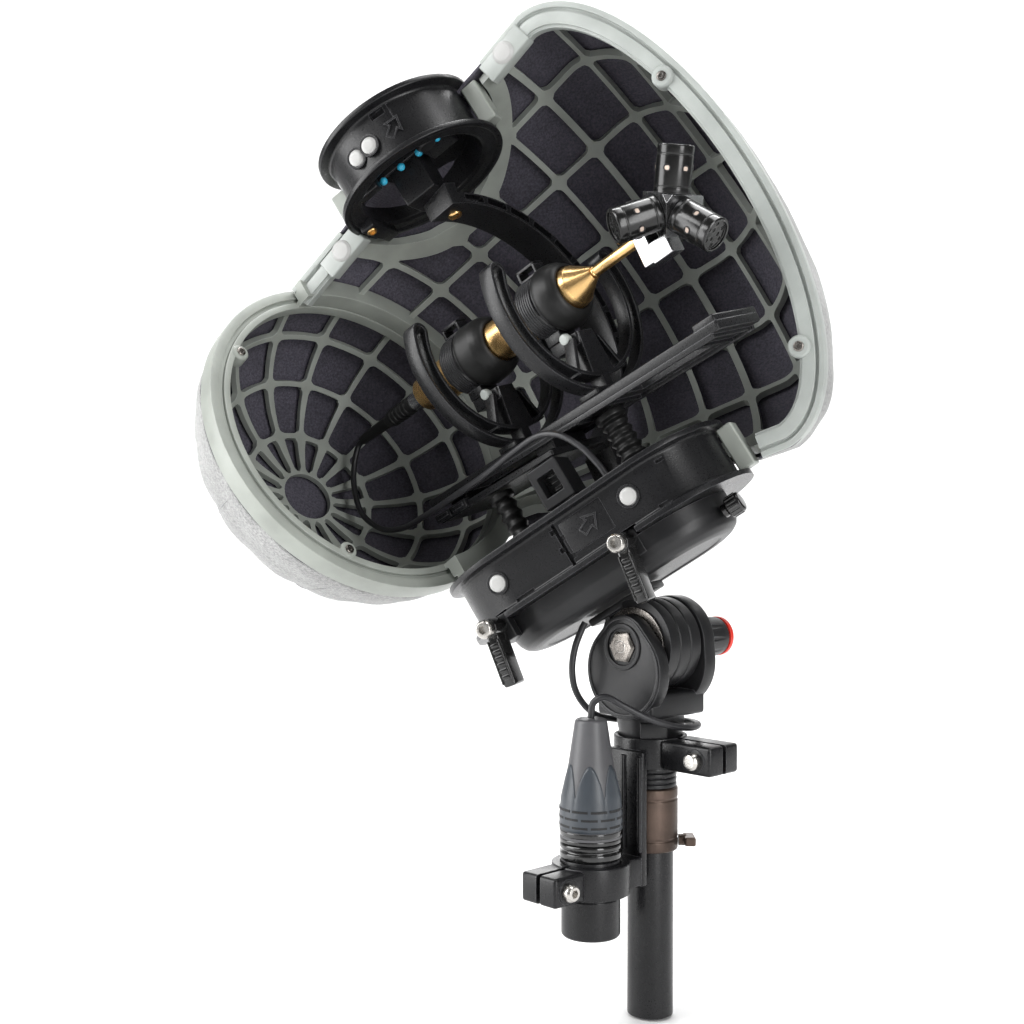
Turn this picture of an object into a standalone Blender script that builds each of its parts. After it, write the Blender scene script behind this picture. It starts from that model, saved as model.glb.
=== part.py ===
"""Four-capsule condenser microphone on lyre mounts in an opened windshield, on a swivel and pole.

World frame: metres, +Z up, origin at the centre of the flat lower end of the pole section.
Numbers in the constants and calls below are millimetres; MM turns them into metres.
The head frame has Z up along the hub axis, X forward along the lower hub's long side and Y
towards the far, closed side of the windshield. The microphone frame is turned in it, with X
forward along the microphone.
"""

import math

import bmesh
import bpy
from mathutils import Matrix, Vector

MM = 0.001
GAP = 0.3                      # clearance between touching pieces

# Head frame
HEAD_PITCH = 32.5              # degrees, front up
HEAD_AT = (-69.2, 0.0, 311.5)
MIC_AT = (0.0, 0.0, -2.5)      # in the head frame
MIC_DROP, MIC_YAW = 7.6, -21.0 # degrees, nose down and towards the near side

# Pole, ferrule and swivel
POLE_RADIUS = 10.3
POLE_TOP = 90.0
FERRULE_RADIUS = 12.3
FERRULE_BOTTOM, FERRULE_TOP = 74.4, 102.8
STUD_RADIUS = 4.7
COLLAR_TOP = 112.0
NECK_BOTTOM = 112.3
PIVOT_AT = (0.0, 0.0, 166.5)
SWIVEL_YAW = 22.0              # degrees, pivot axis turned from +Y towards +X
DRUM_RADIUS = 20.5
DRUM_FROM, DRUM_TO = -10.4, 10.4
NEAR_CHEEK = (-19.0, -12.0)
FAR_CHEEK = (12.0, 20.0)
BOLT_RADIUS = 3.0

# Hubs
TOP_HUB_X = 0.5
TOP_HUB_RADIUS = 41.5
TOP_HUB_LOW, TOP_HUB_HIGH = 84.0, 114.4
HUB_WALL_INSET = 5.0
BOSS_LOW = 74.0
FLANGE = 2.5
BASE_HUB_X = -15.0
BASE_HUB_HALF_LENGTH, BASE_HUB_HALF_WIDTH = 75.0, 38.0
BASE_HUB_LOW, BASE_HUB_HIGH = -119.5, -91.5
COVER_X, COVER_HALF_LENGTH, COVER_HALF_WIDTH = -14.5, 59.5, 31.0
COVER_BOTTOM = -136.0

LEVER_X = {"rear": -66.0, "front": 6.0}
LEVER_Z = -120.3
LEVER_LEAN = 10.0              # degrees, lever tips leaning back

# Windshield
RING_X, RING_RADIUS = -87.0, 80.0
RING_SLANT = 20.0              # degrees, the rear opening turned towards the near side
BELLY_X, BELLY_RADIUS = 80.8, 114.5
NOSE_LENGTH = 49.0
POD_DEPTH = 62.0
POD_GAP = 4.6                  # between the middles of the two rims
RIB = 4.0
FABRIC_THICKNESS = 1.6
FABRIC_STAND_OFF = 3.6

# Microphone and suspension
MIC_RADIUS = 10.0
CAPSULE_CENTRE = (105.7, 0.0, 3.1)
CAPSULE_ROLL = 4.0             # degrees about the microphone axis
CAPSULE_RADIUS, CAPSULE_FROM, CAPSULE_TO = 7.7, 6.4, 26.2
STEM_END = 90.5
LYRE_RADIUS, LYRE_DROP = 46.0, 2.5
LYRE_X = {"front": 34.8, "rear": -21.8}
CLIP_X = {"front": 24.5, "rear": -32.5}
RAIL_LOW, RAIL_HIGH = -54.5, -50.0

# Connector and its bracket
PLUG_REACH, PLUG_AZIMUTH = 39.0, -112.5
EAR_AZIMUTH = -21.0
CABLE_RADIUS = 1.5

FINISHES = {
    "black_plastic": ((0.018, 0.018, 0.02), 0.45, 0.0),
    "gloss_black": ((0.012, 0.012, 0.013), 0.2, 0.0),
    "black_rubber": ((0.012, 0.012, 0.013), 0.7, 0.0),
    "grey_plastic": ((0.36, 0.38, 0.36), 0.5, 0.0),
    "steel": ((0.6, 0.58, 0.55), 0.28, 1.0),
    "brass": ((0.75, 0.5, 0.22), 0.28, 1.0),
    "worn_brown": ((0.09, 0.06, 0.05), 0.55, 0.6),
    "chrome": ((0.85, 0.85, 0.86), 0.12, 1.0),
    "anodised_black": ((0.02, 0.02, 0.022), 0.25, 0.8),
    "blue": ((0.05, 0.42, 0.62), 0.4, 0.0),
    "red": ((0.8, 0.05, 0.03), 0.4, 0.0),
    "white": ((0.8, 0.8, 0.78), 0.4, 0.0),
    "boot_grey": ((0.1, 0.11, 0.13), 0.5, 0.0),
    "fabric": ((0.42, 0.43, 0.44), 0.9, 0.0),
}


def clear_scene():
    for thing in list(bpy.data.objects):
        bpy.data.objects.remove(thing, do_unlink=True)


def new_collection(name):
    collection = bpy.data.collections.new(name)
    bpy.context.scene.collection.children.link(collection)
    return collection


clear_scene()
PARTS = new_collection("condenser_microphone")
CUTTERS = new_collection("cutters")


# ---------------------------------------------------------------- shared tools


def millimetres(values):
    return Vector(values) * MM


def degrees(values):
    return [math.radians(value) for value in values]


def add_object(name, data, parent, at=(0, 0, 0), turn=(0, 0, 0)):
    thing = bpy.data.objects.new(name, data)
    PARTS.objects.link(thing)
    thing.location = millimetres(at)
    thing.rotation_euler = degrees(turn)
    thing.parent = parent
    return thing


def empty(name, parent=None, at=(0, 0, 0), turn=(0, 0, 0)):
    return add_object(name, None, parent, at, turn)


def finish(thing, finish_name):
    """Gives a piece its own material, and keeps round faces smooth."""
    colour, roughness, metallic = FINISHES[finish_name]
    material = bpy.data.materials.new(thing.name + "_" + finish_name)
    material.use_nodes = True
    shader = material.node_tree.nodes["Principled BSDF"]
    shader.inputs["Base Color"].default_value = (*colour, 1.0)
    shader.inputs["Roughness"].default_value = roughness
    shader.inputs["Metallic"].default_value = metallic
    thing.data.materials.append(material)
    return thing


def mesh_object(name, bm, parent, at=(0, 0, 0), turn=(0, 0, 0)):
    mesh = bpy.data.meshes.new(name)
    bm.to_mesh(mesh)
    bm.free()
    return add_object(name, mesh, parent, at, turn)


def box(name, low, high, parent, at=(0, 0, 0), turn=(0, 0, 0), rounding=0.0):
    bm = bmesh.new()
    bmesh.ops.create_cube(bm, size=1.0)
    low, high = millimetres(low), millimetres(high)
    bmesh.ops.scale(bm, vec=high - low, verts=bm.verts)
    bmesh.ops.translate(bm, vec=(low + high) / 2, verts=bm.verts)
    thing = mesh_object(name, bm, parent, at, turn)
    if rounding:
        bevel = thing.modifiers.new("Bevel", "BEVEL")
        bevel.width = rounding * MM
        bevel.segments = 2
    return thing


def turned(name, profile, parent, at=(0, 0, 0), turn=(0, 0, 0), steps=20, ring=False):
    """A turned solid. The profile of (radius, height) runs down its outer side."""
    mesh = bpy.data.meshes.new(name)
    points = [(radius * MM, 0.0, height * MM) for radius, height in profile]
    edges = [(i, i + 1) for i in range(len(points) - 1)]
    if ring:
        edges.append((len(points) - 1, 0))
    mesh.from_pydata(points, edges, [])
    thing = add_object(name, mesh, parent, at, turn)
    screw = thing.modifiers.new("Screw", "SCREW")
    screw.steps = screw.render_steps = steps
    screw.use_merge_vertices = True
    screw.merge_threshold = 0.00001
    screw.use_smooth_shade = True
    return thing


def rod(name, radius, low, high, parent, at=(0, 0, 0), turn=(0, 0, 0), steps=16):
    profile = [(0, high), (radius, high), (radius, low), (0, low)]
    return turned(name, profile, parent, at, turn, steps)


def tube_ring(name, outer, inner, low, high, parent, at=(0, 0, 0), turn=(0, 0, 0), steps=20):
    profile = [(outer, high), (outer, low), (inner, low), (inner, high)]
    return turned(name, profile, parent, at, turn, steps, ring=True)


def as_mesh(curve_object):
    """The same solid as a welded mesh, which can be cut and joined."""
    bpy.context.view_layer.update()
    graph = bpy.context.evaluated_depsgraph_get()
    mesh = bpy.data.meshes.new_from_object(curve_object.evaluated_get(graph))
    bm = bmesh.new()
    bm.from_mesh(mesh)
    bmesh.ops.remove_doubles(bm, verts=bm.verts, dist=0.000001)
    bm.to_mesh(mesh)
    bm.free()
    name = curve_object.name
    curve_object.name = name + "_curve"
    thing = bpy.data.objects.new(name, mesh)
    PARTS.objects.link(thing)
    thing.parent = curve_object.parent
    thing.matrix_world = curve_object.matrix_world
    bpy.data.objects.remove(curve_object, do_unlink=True)
    return thing


def plate(name, outlines, low, high, parent, at=(0, 0, 0), turn=(0, 0, 0)):
    """A flat solid: closed outlines in its XY plane, filled between two heights."""
    curve = bpy.data.curves.new(name, "CURVE")
    curve.dimensions = "2D"
    curve.fill_mode = "BOTH"
    curve.extrude = (high - low) / 2 * MM
    for outline in outlines:
        spline = curve.splines.new("POLY")
        spline.points.add(len(outline) - 1)
        for point, (x, y) in zip(spline.points, outline):
            point.co = (x * MM, y * MM, 0.0, 1.0)
        spline.use_cyclic_u = True
    thing = add_object(name, curve, parent, at, turn)
    middle = Vector((0.0, 0.0, (low + high) / 2 * MM))
    thing.location += thing.rotation_euler.to_matrix() @ middle
    return as_mesh(thing)


def arc(radius, start, end, steps, centre=(0.0, 0.0)):
    """Points on a circle from one angle to another, in degrees."""
    angles = [math.radians(start + (end - start) * i / steps) for i in range(steps + 1)]
    return [(centre[0] + radius * math.cos(a), centre[1] + radius * math.sin(a)) for a in angles]


def stadium(half_length, half_width, centre_x=0.0, steps=14):
    straight = half_length - half_width
    right = arc(half_width, -90, 90, steps, (centre_x + straight, 0.0))
    left = arc(half_width, 90, 270, steps, (centre_x - straight, 0.0))
    return right + left


def boolean(thing, other, operation="DIFFERENCE"):
    """Cuts or joins one piece with another, which becomes a hidden helper."""
    modifier = thing.modifiers.new(operation.title(), "BOOLEAN")
    modifier.operation = operation
    modifier.object = other
    modifier.solver = "EXACT"
    PARTS.objects.unlink(other)
    CUTTERS.objects.link(other)
    other.hide_render = True
    other.display_type = "WIRE"
    return thing


def smooth_route(knots, count):
    """Evenly numbered points on a smooth curve through the knots."""
    points = [Vector(knot) for knot in knots]
    points = [2 * points[0] - points[1]] + points + [2 * points[-1] - points[-2]]
    spans = len(points) - 3
    route = []
    for i in range(count):
        place = i * spans / (count - 1)
        span = min(int(place), spans - 1)
        t = place - span
        a, b, c, d = points[span:span + 4]
        route.append(0.5 * (2 * b + (c - a) * t + (2 * a - 5 * b + 4 * c - d) * t * t
                            + (3 * b - a - 3 * c + d) * t ** 3))
    return route


def cable(name, knots, radius, count, parent):
    curve = bpy.data.curves.new(name, "CURVE")
    curve.dimensions = "3D"
    curve.bevel_depth = radius * MM
    curve.bevel_resolution = 2
    curve.use_fill_caps = True
    route = smooth_route(knots, count)
    spline = curve.splines.new("POLY")
    spline.points.add(len(route) - 1)
    for point, place in zip(spline.points, route):
        point.co = (*(place * MM), 1.0)
    return add_object(name, curve, parent)


# ---------------------------------------------------------------- frames

HEAD = empty("head_frame", at=HEAD_AT, turn=(0, -HEAD_PITCH, 0))
MIC = empty("microphone_frame", HEAD, at=MIC_AT, turn=(0, MIC_DROP, MIC_YAW))
# Z of the pivot frame runs along the pivot axis, from the near cheek to the far one.
PIVOT = empty("pivot_frame", at=PIVOT_AT, turn=(-90, 0, -SWIVEL_YAW))
plug_angle = math.radians(PLUG_AZIMUTH)
PLUG_AT = (PLUG_REACH * math.cos(plug_angle), PLUG_REACH * math.sin(plug_angle), 0.0)
PLUG = empty("plug_frame", at=PLUG_AT)
EARS = empty("ear_frame", turn=(0, 0, EAR_AZIMUTH))
PLUG_EARS = empty("plug_ear_frame", at=PLUG_AT, turn=(0, 0, PLUG_AZIMUTH))
ALONG_X = (0, 90, 0)           # turns a turned piece's height onto the microphone axis


# ---------------------------------------------------------------- pole and ferrule


def build_pole():
    rod("stand_pole", POLE_RADIUS, 0.0, POLE_TOP, None, steps=24)
    finish(bpy.data.objects["stand_pole"], "black_plastic")


def build_ferrule():
    bore = POLE_RADIUS + GAP
    profile = [
        (0, COLLAR_TOP + 2), (STUD_RADIUS, COLLAR_TOP + 2), (STUD_RADIUS, FERRULE_TOP),
        (FERRULE_RADIUS, FERRULE_TOP), (FERRULE_RADIUS, FERRULE_BOTTOM),
        (bore, FERRULE_BOTTOM), (bore, POLE_TOP + GAP), (0, POLE_TOP + GAP),
    ]
    finish(turned("pole_ferrule", profile, None, steps=24), "worn_brown")


def build_ferrule_screw():
    frame = empty("ferrule_screw_frame", at=(0, 0, 78.0), turn=(0, 90, 24))
    screw = rod("ferrule_screw", 2.6, FERRULE_RADIUS + GAP, 16.0, frame, steps=12)
    wing = box("ferrule_screw_wing", (-2.0, -5.5, 15.0), (2.0, 5.5, 20.0), frame, rounding=0.8)
    finish(boolean(screw, wing, "UNION"), "worn_brown")


def build_thread_collar():
    profile = [(11.8, COLLAR_TOP)]
    for groove in range(3):
        top = COLLAR_TOP - 1.6 - groove * 2.4
        profile += [(11.8, top), (11.0, top - 0.5), (11.8, top - 1.0)]
    profile += [(11.8, FERRULE_TOP + GAP), (STUD_RADIUS + GAP, FERRULE_TOP + GAP),
                (STUD_RADIUS + GAP, COLLAR_TOP)]
    finish(turned("thread_collar", profile, None, ring=True, steps=20), "black_plastic")


# ---------------------------------------------------------------- swivel


def egg_outline(top_radius, low_radius, drop):
    """Two circles one above the other, with straight flanks between them."""
    lean = math.degrees(math.asin((low_radius - top_radius) / drop))
    top = arc(top_radius, lean, 180 - lean, 14)
    low = arc(low_radius, 180 - lean, 360 + lean, 20, (0.0, -drop))
    return top + low


def build_fork():
    """Neck, two cheeks and the web under the drum, in one casting."""
    # The cheeks are drawn in the pivot frame, where world down is +Y.
    def cheek(name, radius, low_radius, drop, span):
        outline = [(x, -y) for x, y in egg_outline(radius, low_radius, drop)]
        return plate(name, [outline[::-1]], span[0], span[1], PIVOT)

    neck_profile = [(0, 139), (15.2, 139), (15.0, 131), (12.5, 121), (10.5, NECK_BOTTOM),
                    (STUD_RADIUS + GAP, NECK_BOTTOM), (STUD_RADIUS + GAP, 118), (0, 118)]
    fork = turned("swivel_fork", neck_profile, None, steps=20)
    boolean(fork, cheek("near_cheek", 14.0, 21.5, 11.0, NEAR_CHEEK), "UNION")
    boolean(fork, cheek("far_cheek", 21.0, 21.6, 8.0, FAR_CHEEK), "UNION")
    web = box("fork_web", (-16.0, 21.3, NEAR_CHEEK[0] + 1), (16.0, 31.5, FAR_CHEEK[1] - 1),
              PIVOT, rounding=1.5)
    boolean(fork, web, "UNION")
    clearance = rod("drum_clearance", DRUM_RADIUS + 0.6, NEAR_CHEEK[1], FAR_CHEEK[0], PIVOT,
                    steps=24)
    boolean(fork, clearance)
    floor = NEAR_CHEEK[0] + 2.5
    bore = BOLT_RADIUS + GAP
    stepped_bore = [(0, 40), (bore, 40), (bore, floor), (8.0, floor), (8.0, -30), (0, -30)]
    boolean(fork, turned("fork_bore", stepped_bore, PIVOT, steps=16))
    finish(fork, "black_plastic")


def build_pivot_bolt():
    shank = rod("pivot_bolt", BOLT_RADIUS, -17.5, 30.0, PIVOT, steps=14)
    head = rod("pivot_bolt_head", 6.2, NEAR_CHEEK[0] - 1.5, NEAR_CHEEK[0] + 2.2, PIVOT, steps=6)
    finish(boolean(shank, head, "UNION"), "steel")


def build_friction_discs():
    inner = BOLT_RADIUS + GAP
    near = tube_ring("friction_disc_near", 17.0, inner, NEAR_CHEEK[1] + GAP, DRUM_FROM - GAP,
                     PIVOT)
    far = tube_ring("friction_disc_far", 17.0, inner, DRUM_TO + GAP, FAR_CHEEK[0] - GAP, PIVOT)
    finish(near, "steel")
    finish(far, "steel")


def build_knob():
    """The clamping knob screws onto the end of the pivot bolt."""
    low = FAR_CHEEK[1] + GAP
    bore = BOLT_RADIUS + GAP
    profile = [
        (0, 50.0), (7.0, 50.0), (7.0, 46.6), (9.0, 46.2), (9.8, 36.0), (10.6, low + 1.0),
        (9.8, low), (bore, low), (bore, 30.5), (0, 30.5),
    ]
    finish(turned("swivel_knob", profile, PIVOT, steps=20), "black_plastic")
    ring = [(8.2, 50.0), (9.2, 49.0), (9.2, 46.9), (7.3, 46.9), (7.3, 50.0)]
    finish(turned("knob_ring", ring, PIVOT, steps=20, ring=True), "red")


def build_yoke_arm():
    """The drum between the cheeks, and the canted block that carries the lower hub."""
    drum = tube_ring("yoke_arm", DRUM_RADIUS, BOLT_RADIUS + GAP, DRUM_FROM, DRUM_TO, PIVOT,
                     steps=24)
    block = box("yoke_block", (-32.0, -3.5, -152.0), (-8.0, 7.5, COVER_BOTTOM - GAP), HEAD,
                rounding=1.5)
    foot = box("yoke_foot", (-38.0, -6.5, -139.8), (-3.0, 11.0, COVER_BOTTOM - GAP), HEAD,
               rounding=1.0)
    boolean(drum, block, "UNION")
    boolean(drum, foot, "UNION")
    clearance = rod("yoke_bolt_bore", BOLT_RADIUS + GAP, -40, 40, PIVOT, steps=14)
    boolean(drum, clearance)
    finish(drum, "black_plastic")


# ---------------------------------------------------------------- connector and bracket


def split_clamp(name, outer, inner, low, high, reach, thick, frame):
    """A split ring with two ears along its frame's X, cut by a slot."""
    ring = tube_ring(name, outer, inner, low, high, frame, steps=22)
    ears = box(name + "_ears", (inner + 1.0, -thick, low + 0.5), (reach, thick, high - 0.5),
               frame, rounding=1.2)
    boolean(ring, ears, "UNION")
    slot = box(name + "_slot", (0.0, -1.2, low - 5), (reach + 5, 1.2, high + 5), frame)
    boolean(ring, slot)
    bore = rod(name + "_bore", inner, low - 5, high + 5, frame, steps=22)
    boolean(ring, bore)
    hole = rod(name + "_screw_hole", 2.3, -thick - 5, thick + 5, frame,
               at=(reach - 8.0, 0, (low + high) / 2), turn=(90, 0, 0), steps=12)
    boolean(ring, hole)
    return ring


def clamp_screw(name, reach, height, thick, frame, side):
    """Cap screw across a clamp's ears; side says which ear carries its head."""
    turn = (90 * side, 0, 0)
    shank = rod(name, 2.0, -thick - 2.0, thick + 1.0, frame, at=(reach - 8.0, 0, height),
                turn=turn, steps=12)
    head = [(0, thick + 3.4), (1.5, thick + 3.4), (1.5, thick + 4.6), (3.2, thick + 4.6),
            (3.7, thick + 4.0), (3.7, thick + GAP), (0, thick + GAP)]
    cap = turned(name + "_head", head, frame, at=(reach - 8.0, 0, height), turn=turn, steps=14)
    return finish(boolean(shank, cap, "UNION"), "steel")


def build_bracket():
    """Upper clamp on the swivel's neck, arm, and lower clamp on the connector."""
    upper = split_clamp("cable_bracket", 16.5, 11.3, 112.6, 126.0, 41.0, 10.2, EARS)
    neck_clearance = turned(
        "neck_clearance",
        [(0, 140), (15.7, 139), (15.5, 131), (13.0, 121), (11.0, 111), (0, 111)],
        None, steps=20)
    boolean(upper, neck_clearance)
    lower = tube_ring("bracket_ring", 17.0, 13.1, 62.0, 75.5, PLUG_EARS, steps=22)
    ears = box("bracket_ears", (14.0, -10.2, 62.5), (32.0, 10.2, 75.0), PLUG_EARS, rounding=1.2)
    boolean(upper, lower, "UNION")
    boolean(upper, ears, "UNION")
    # The arm stands between the ferrule and the connector, along the line joining them.
    arm = box("bracket_arm", (14.6, -11.0, 62.0), (18.0, 11.0, 121.0), None,
              turn=(0, 0, PLUG_AZIMUTH), rounding=0.8)
    root = box("bracket_arm_root", (10.0, -9.5, 112.8), (16.5, 9.5, 120.5), None,
               turn=(0, 0, PLUG_AZIMUTH))
    end = box("bracket_arm_end", (15.0, -10.5, 62.5), (26.0, 10.5, 75.0), None,
              turn=(0, 0, PLUG_AZIMUTH))
    for piece in (arm, root, end):
        boolean(upper, piece, "UNION")
    slot = box("bracket_lower_slot", (0.0, -1.2, 58.0), (40.0, 1.2, 80.0), PLUG_EARS)
    boolean(upper, slot)
    bore = rod("bracket_lower_bore", 13.1, 55.0, 78.0, PLUG_EARS, steps=22)
    boolean(upper, bore)
    again = turned(
        "neck_clearance_again",
        [(0, 140), (15.7, 139), (15.5, 131), (13.0, 121), (11.0, 111), (0, 111)],
        None, steps=20)
    boolean(upper, again)
    hole = rod("bracket_lower_hole", 2.3, -20, 20, PLUG_EARS, at=(25.0, 0, 68.7),
               turn=(90, 0, 0), steps=12)
    boolean(upper, hole)
    finish(upper, "black_plastic")
    clamp_screw("bracket_upper_screw", 41.0, 119.3, 10.2, EARS, 1)
    clamp_screw("bracket_lower_screw", 33.0, 68.7, 10.2, PLUG_EARS, -1)


def build_connector():
    shell = [(0, 77.0), (12.8, 77.0), (12.8, 44.5), (12.0, 43.5), (10.6, 43.5), (10.6, 58.0),
             (0, 58.0)]
    finish(turned("socket_shell", shell, PLUG, steps=22), "black_plastic")
    insert = [(0, 57.7), (10.3, 57.7), (10.3, 50.0), (0, 50.0)]
    finish(turned("contact_insert", insert, PLUG, steps=16), "black_rubber")
    ring = [(13.2, 84.2), (13.6, 83.6), (13.6, 82.0), (12.8, 81.6), (12.8, 80.8), (13.6, 80.4),
            (13.6, 78.2), (13.2, 77.3), (9.0, 77.3), (9.0, 84.2)]
    finish(turned("locking_ring", ring, PLUG, steps=22, ring=True), "gloss_black")
    boot = [(0, 137.0), (5.8, 137.0), (6.6, 136.4), (8.8, 118.0), (12.2, 104.0), (13.7, 95.0),
            (13.7, 91.0), (13.0, 90.6), (13.0, 89.8), (13.7, 89.4), (13.6, 87.8), (12.9, 87.4),
            (12.9, 86.6), (13.5, 86.2), (13.4, 84.5), (0, 84.5)]
    finish(turned("connector_boot", boot, PLUG, steps=22), "boot_grey")


OUTER_CABLE = [
    (-26.0, -14.2, 176.2), (-27.5, -15.0, 172.8), (-29.8, -17.0, 165.0),
    (-30.8, -18.0, 156.0), (-30.4, -16.0, 147.0), (-28.8, -9.5, 139.0),
    (-25.5, -1.0, 132.8), (-19.5, 9.0, 129.8), (-10.0, 17.0, 129.0), (2.5, 19.5, 129.5),
    (14.0, 15.0, 130.0), (20.5, 5.5, 130.5), (21.0, -6.5, 131.0), (16.0, -17.5, 133.0),
    (8.0, -26.5, 137.0), (-1.0, -32.5, 142.5), (-8.5, -35.3, 146.5), (-13.8, -36.2, 143.8),
    (-14.9, -36.0, 137.3),
]


def build_outer_cable():
    cable("outer_cable", OUTER_CABLE, CABLE_RADIUS, 46, None)
    finish(bpy.data.objects["outer_cable"], "black_rubber")


# ---------------------------------------------------------------- lower hub


def build_base_hub():
    """A spool with two flanges, and slots and a seam in its near wall."""
    def layer(name, inset, low, high):
        outline = stadium(BASE_HUB_HALF_LENGTH - inset, BASE_HUB_HALF_WIDTH - inset, BASE_HUB_X)
        return plate(name, [outline], low, high, HEAD)

    hub = layer("bottom_hub", HUB_WALL_INSET, BASE_HUB_LOW + 1, BASE_HUB_HIGH - 1)
    boolean(hub, layer("upper_flange", 0.0, BASE_HUB_HIGH - FLANGE, BASE_HUB_HIGH), "UNION")
    boolean(hub, layer("lower_flange", 0.0, BASE_HUB_LOW, BASE_HUB_LOW + FLANGE), "UNION")
    seam = box("hub_seam", (-20.7, -40.0, -116.5), (-18.9, -31.5, -95.0), HEAD)
    boolean(hub, seam)
    for index, x in enumerate((-55.8, 16.9)):
        pocket = rod(f"disc_pocket_{index}", 4.4, -40.0, -30.0, HEAD, at=(x, 0, -104.0),
                     turn=(-90, 0, 0), steps=14)
        boolean(hub, pocket)
    for index, x in enumerate(LEVER_X.values()):
        notch = box(f"lever_notch_{index}", (x - 5.4, -46.0, -130.0), (x + 5.4, -19.4, LEVER_Z + 5.0),
                    HEAD)
        boolean(hub, notch)
    finish(hub, "black_plastic")


def build_base_cover():
    outline = stadium(COVER_HALF_LENGTH, COVER_HALF_WIDTH, COVER_X)
    cover = plate("hub_base_cover", [outline], COVER_BOTTOM, BASE_HUB_LOW - GAP, HEAD)
    bevel = cover.modifiers.new("Bevel", "BEVEL")
    bevel.width = 4.0 * MM
    bevel.segments = 2
    bevel.limit_method = "ANGLE"
    for index, x in enumerate(LEVER_X.values()):
        lug = box(f"lever_lug_{index}", (x - 5.0, -31.2, -128.0), (x + 5.0, -12.0, LEVER_Z + 4.6),
                  HEAD)
        hub_room = box(f"lug_room_{index}", (x - 20.0, -19.7, BASE_HUB_LOW - GAP),
                       (x + 20.0, 0.0, LEVER_Z + 9.0), HEAD)
        boolean(lug, hub_room)
        boolean(cover, lug, "UNION")
        hole = rod(f"lever_hole_{index}", 2.3, -45.0, -19.5, HEAD, at=(x, 0, LEVER_Z),
                   turn=(-90, 0, 0), steps=12)
        boolean(cover, hole)
    finish(cover, "black_plastic")


def build_levers():
    """Each lever turns on a cap screw across the near face of the lower hub."""
    for name, x in LEVER_X.items():
        # In this frame world-near is +Z, head forward is +X and head down is -Y.
        frame = empty(f"lever_{name}_frame", HEAD, at=(x, 0, LEVER_Z), turn=(90, LEVER_LEAN, 0))
        eye = tube_ring(f"lever_{name}", 4.3, 2.3, 31.5, 44.6, frame, steps=16)
        grip = box(f"lever_{name}_grip", (-2.6, -27.0, 33.0), (3.4, -3.0, 45.0), frame,
                   rounding=1.2)
        boolean(eye, grip, "UNION")
        finish(eye, "gloss_black")
        shank = rod(f"lever_{name}_screw", 2.0, 20.0, 46.0, HEAD, at=(x, 0, LEVER_Z),
                    turn=(90, 0, 0), steps=12)
        head = [(0, 48.3), (1.7, 48.3), (1.7, 49.6), (3.4, 49.6), (4.1, 48.9), (4.1, 45.3),
                (0, 45.3)]
        cap = turned(f"lever_{name}_cap", head, HEAD, at=(x, 0, LEVER_Z), turn=(90, 0, 0),
                     steps=14)
        finish(boolean(shank, cap, "UNION"), "steel")


def build_base_knob():
    """The small ridged knob on the front end of the base cover."""
    frame = empty("base_knob_frame", HEAD, at=(0, -12.0, -129.0), turn=ALONG_X)
    front = 43.6
    knob = turned("base_knob", [(0, front + 9.5), (4.2, front + 9.5), (5.0, front + 8.3),
                                (5.0, front + 3.0), (3.0, front + 2.0), (3.0, front),
                                (0, front)], frame, steps=12)
    finish(knob, "gloss_black")


# ---------------------------------------------------------------- upper hub and spine


def build_top_hub():
    """A round spool, open underneath, with the boss that carries the spine."""
    outer, wall = TOP_HUB_RADIUS, TOP_HUB_RADIUS - HUB_WALL_INSET
    high, low = TOP_HUB_HIGH, TOP_HUB_LOW
    hollow, ceiling = 32.5, 98.0
    profile = [
        (0, high - 1.0), (outer - 3.0, high - 1.0), (outer - 1.5, high), (outer, high),
        (outer, high - FLANGE), (wall, high - FLANGE), (wall - 0.6, low + FLANGE),
        (outer + 1.5, low + FLANGE), (outer + 1.5, low), (hollow, low), (hollow, ceiling),
        (0, ceiling),
    ]
    hub = turned("top_hub", profile, HEAD, at=(TOP_HUB_X, 0, 0), steps=30)
    boss = box("spine_boss", (-9.0, -13.0, BOSS_LOW), (8.0, 5.0, ceiling + 1.0), HEAD, rounding=0.8)
    boolean(hub, boss, "UNION")
    for index, x in enumerate((-23.0, -12.5)):
        pocket = rod(f"top_disc_pocket_{index}", 4.4, -42.0, -30.0, HEAD, at=(x, 0, 100.0),
                     turn=(-90, 0, 0), steps=14)
        boolean(hub, pocket)
    finish(hub, "black_plastic")


def build_bumper_strip():
    """Five blue dots on a black strip across the hub's open underside."""
    strip = box("bumper_strip", (-24.5, -19.0, 90.0), (24.5, -17.0, 97.7), HEAD, rounding=0.4)
    for index in range(5):
        dot = rod(f"bumper_{index}", 1.9, 85.5, 91.0, HEAD,
                  at=(-22.0 + 11.0 * index, -18.0, 0), steps=10)
        boolean(strip, dot, "UNION")
    finish(strip, "blue")


SPINE_BACK, SPINE_FRONT = -15.0, 3.0    # along the microphone
SPINE_INNER, SPINE_OUTER = 66.5, 72.5


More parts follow.
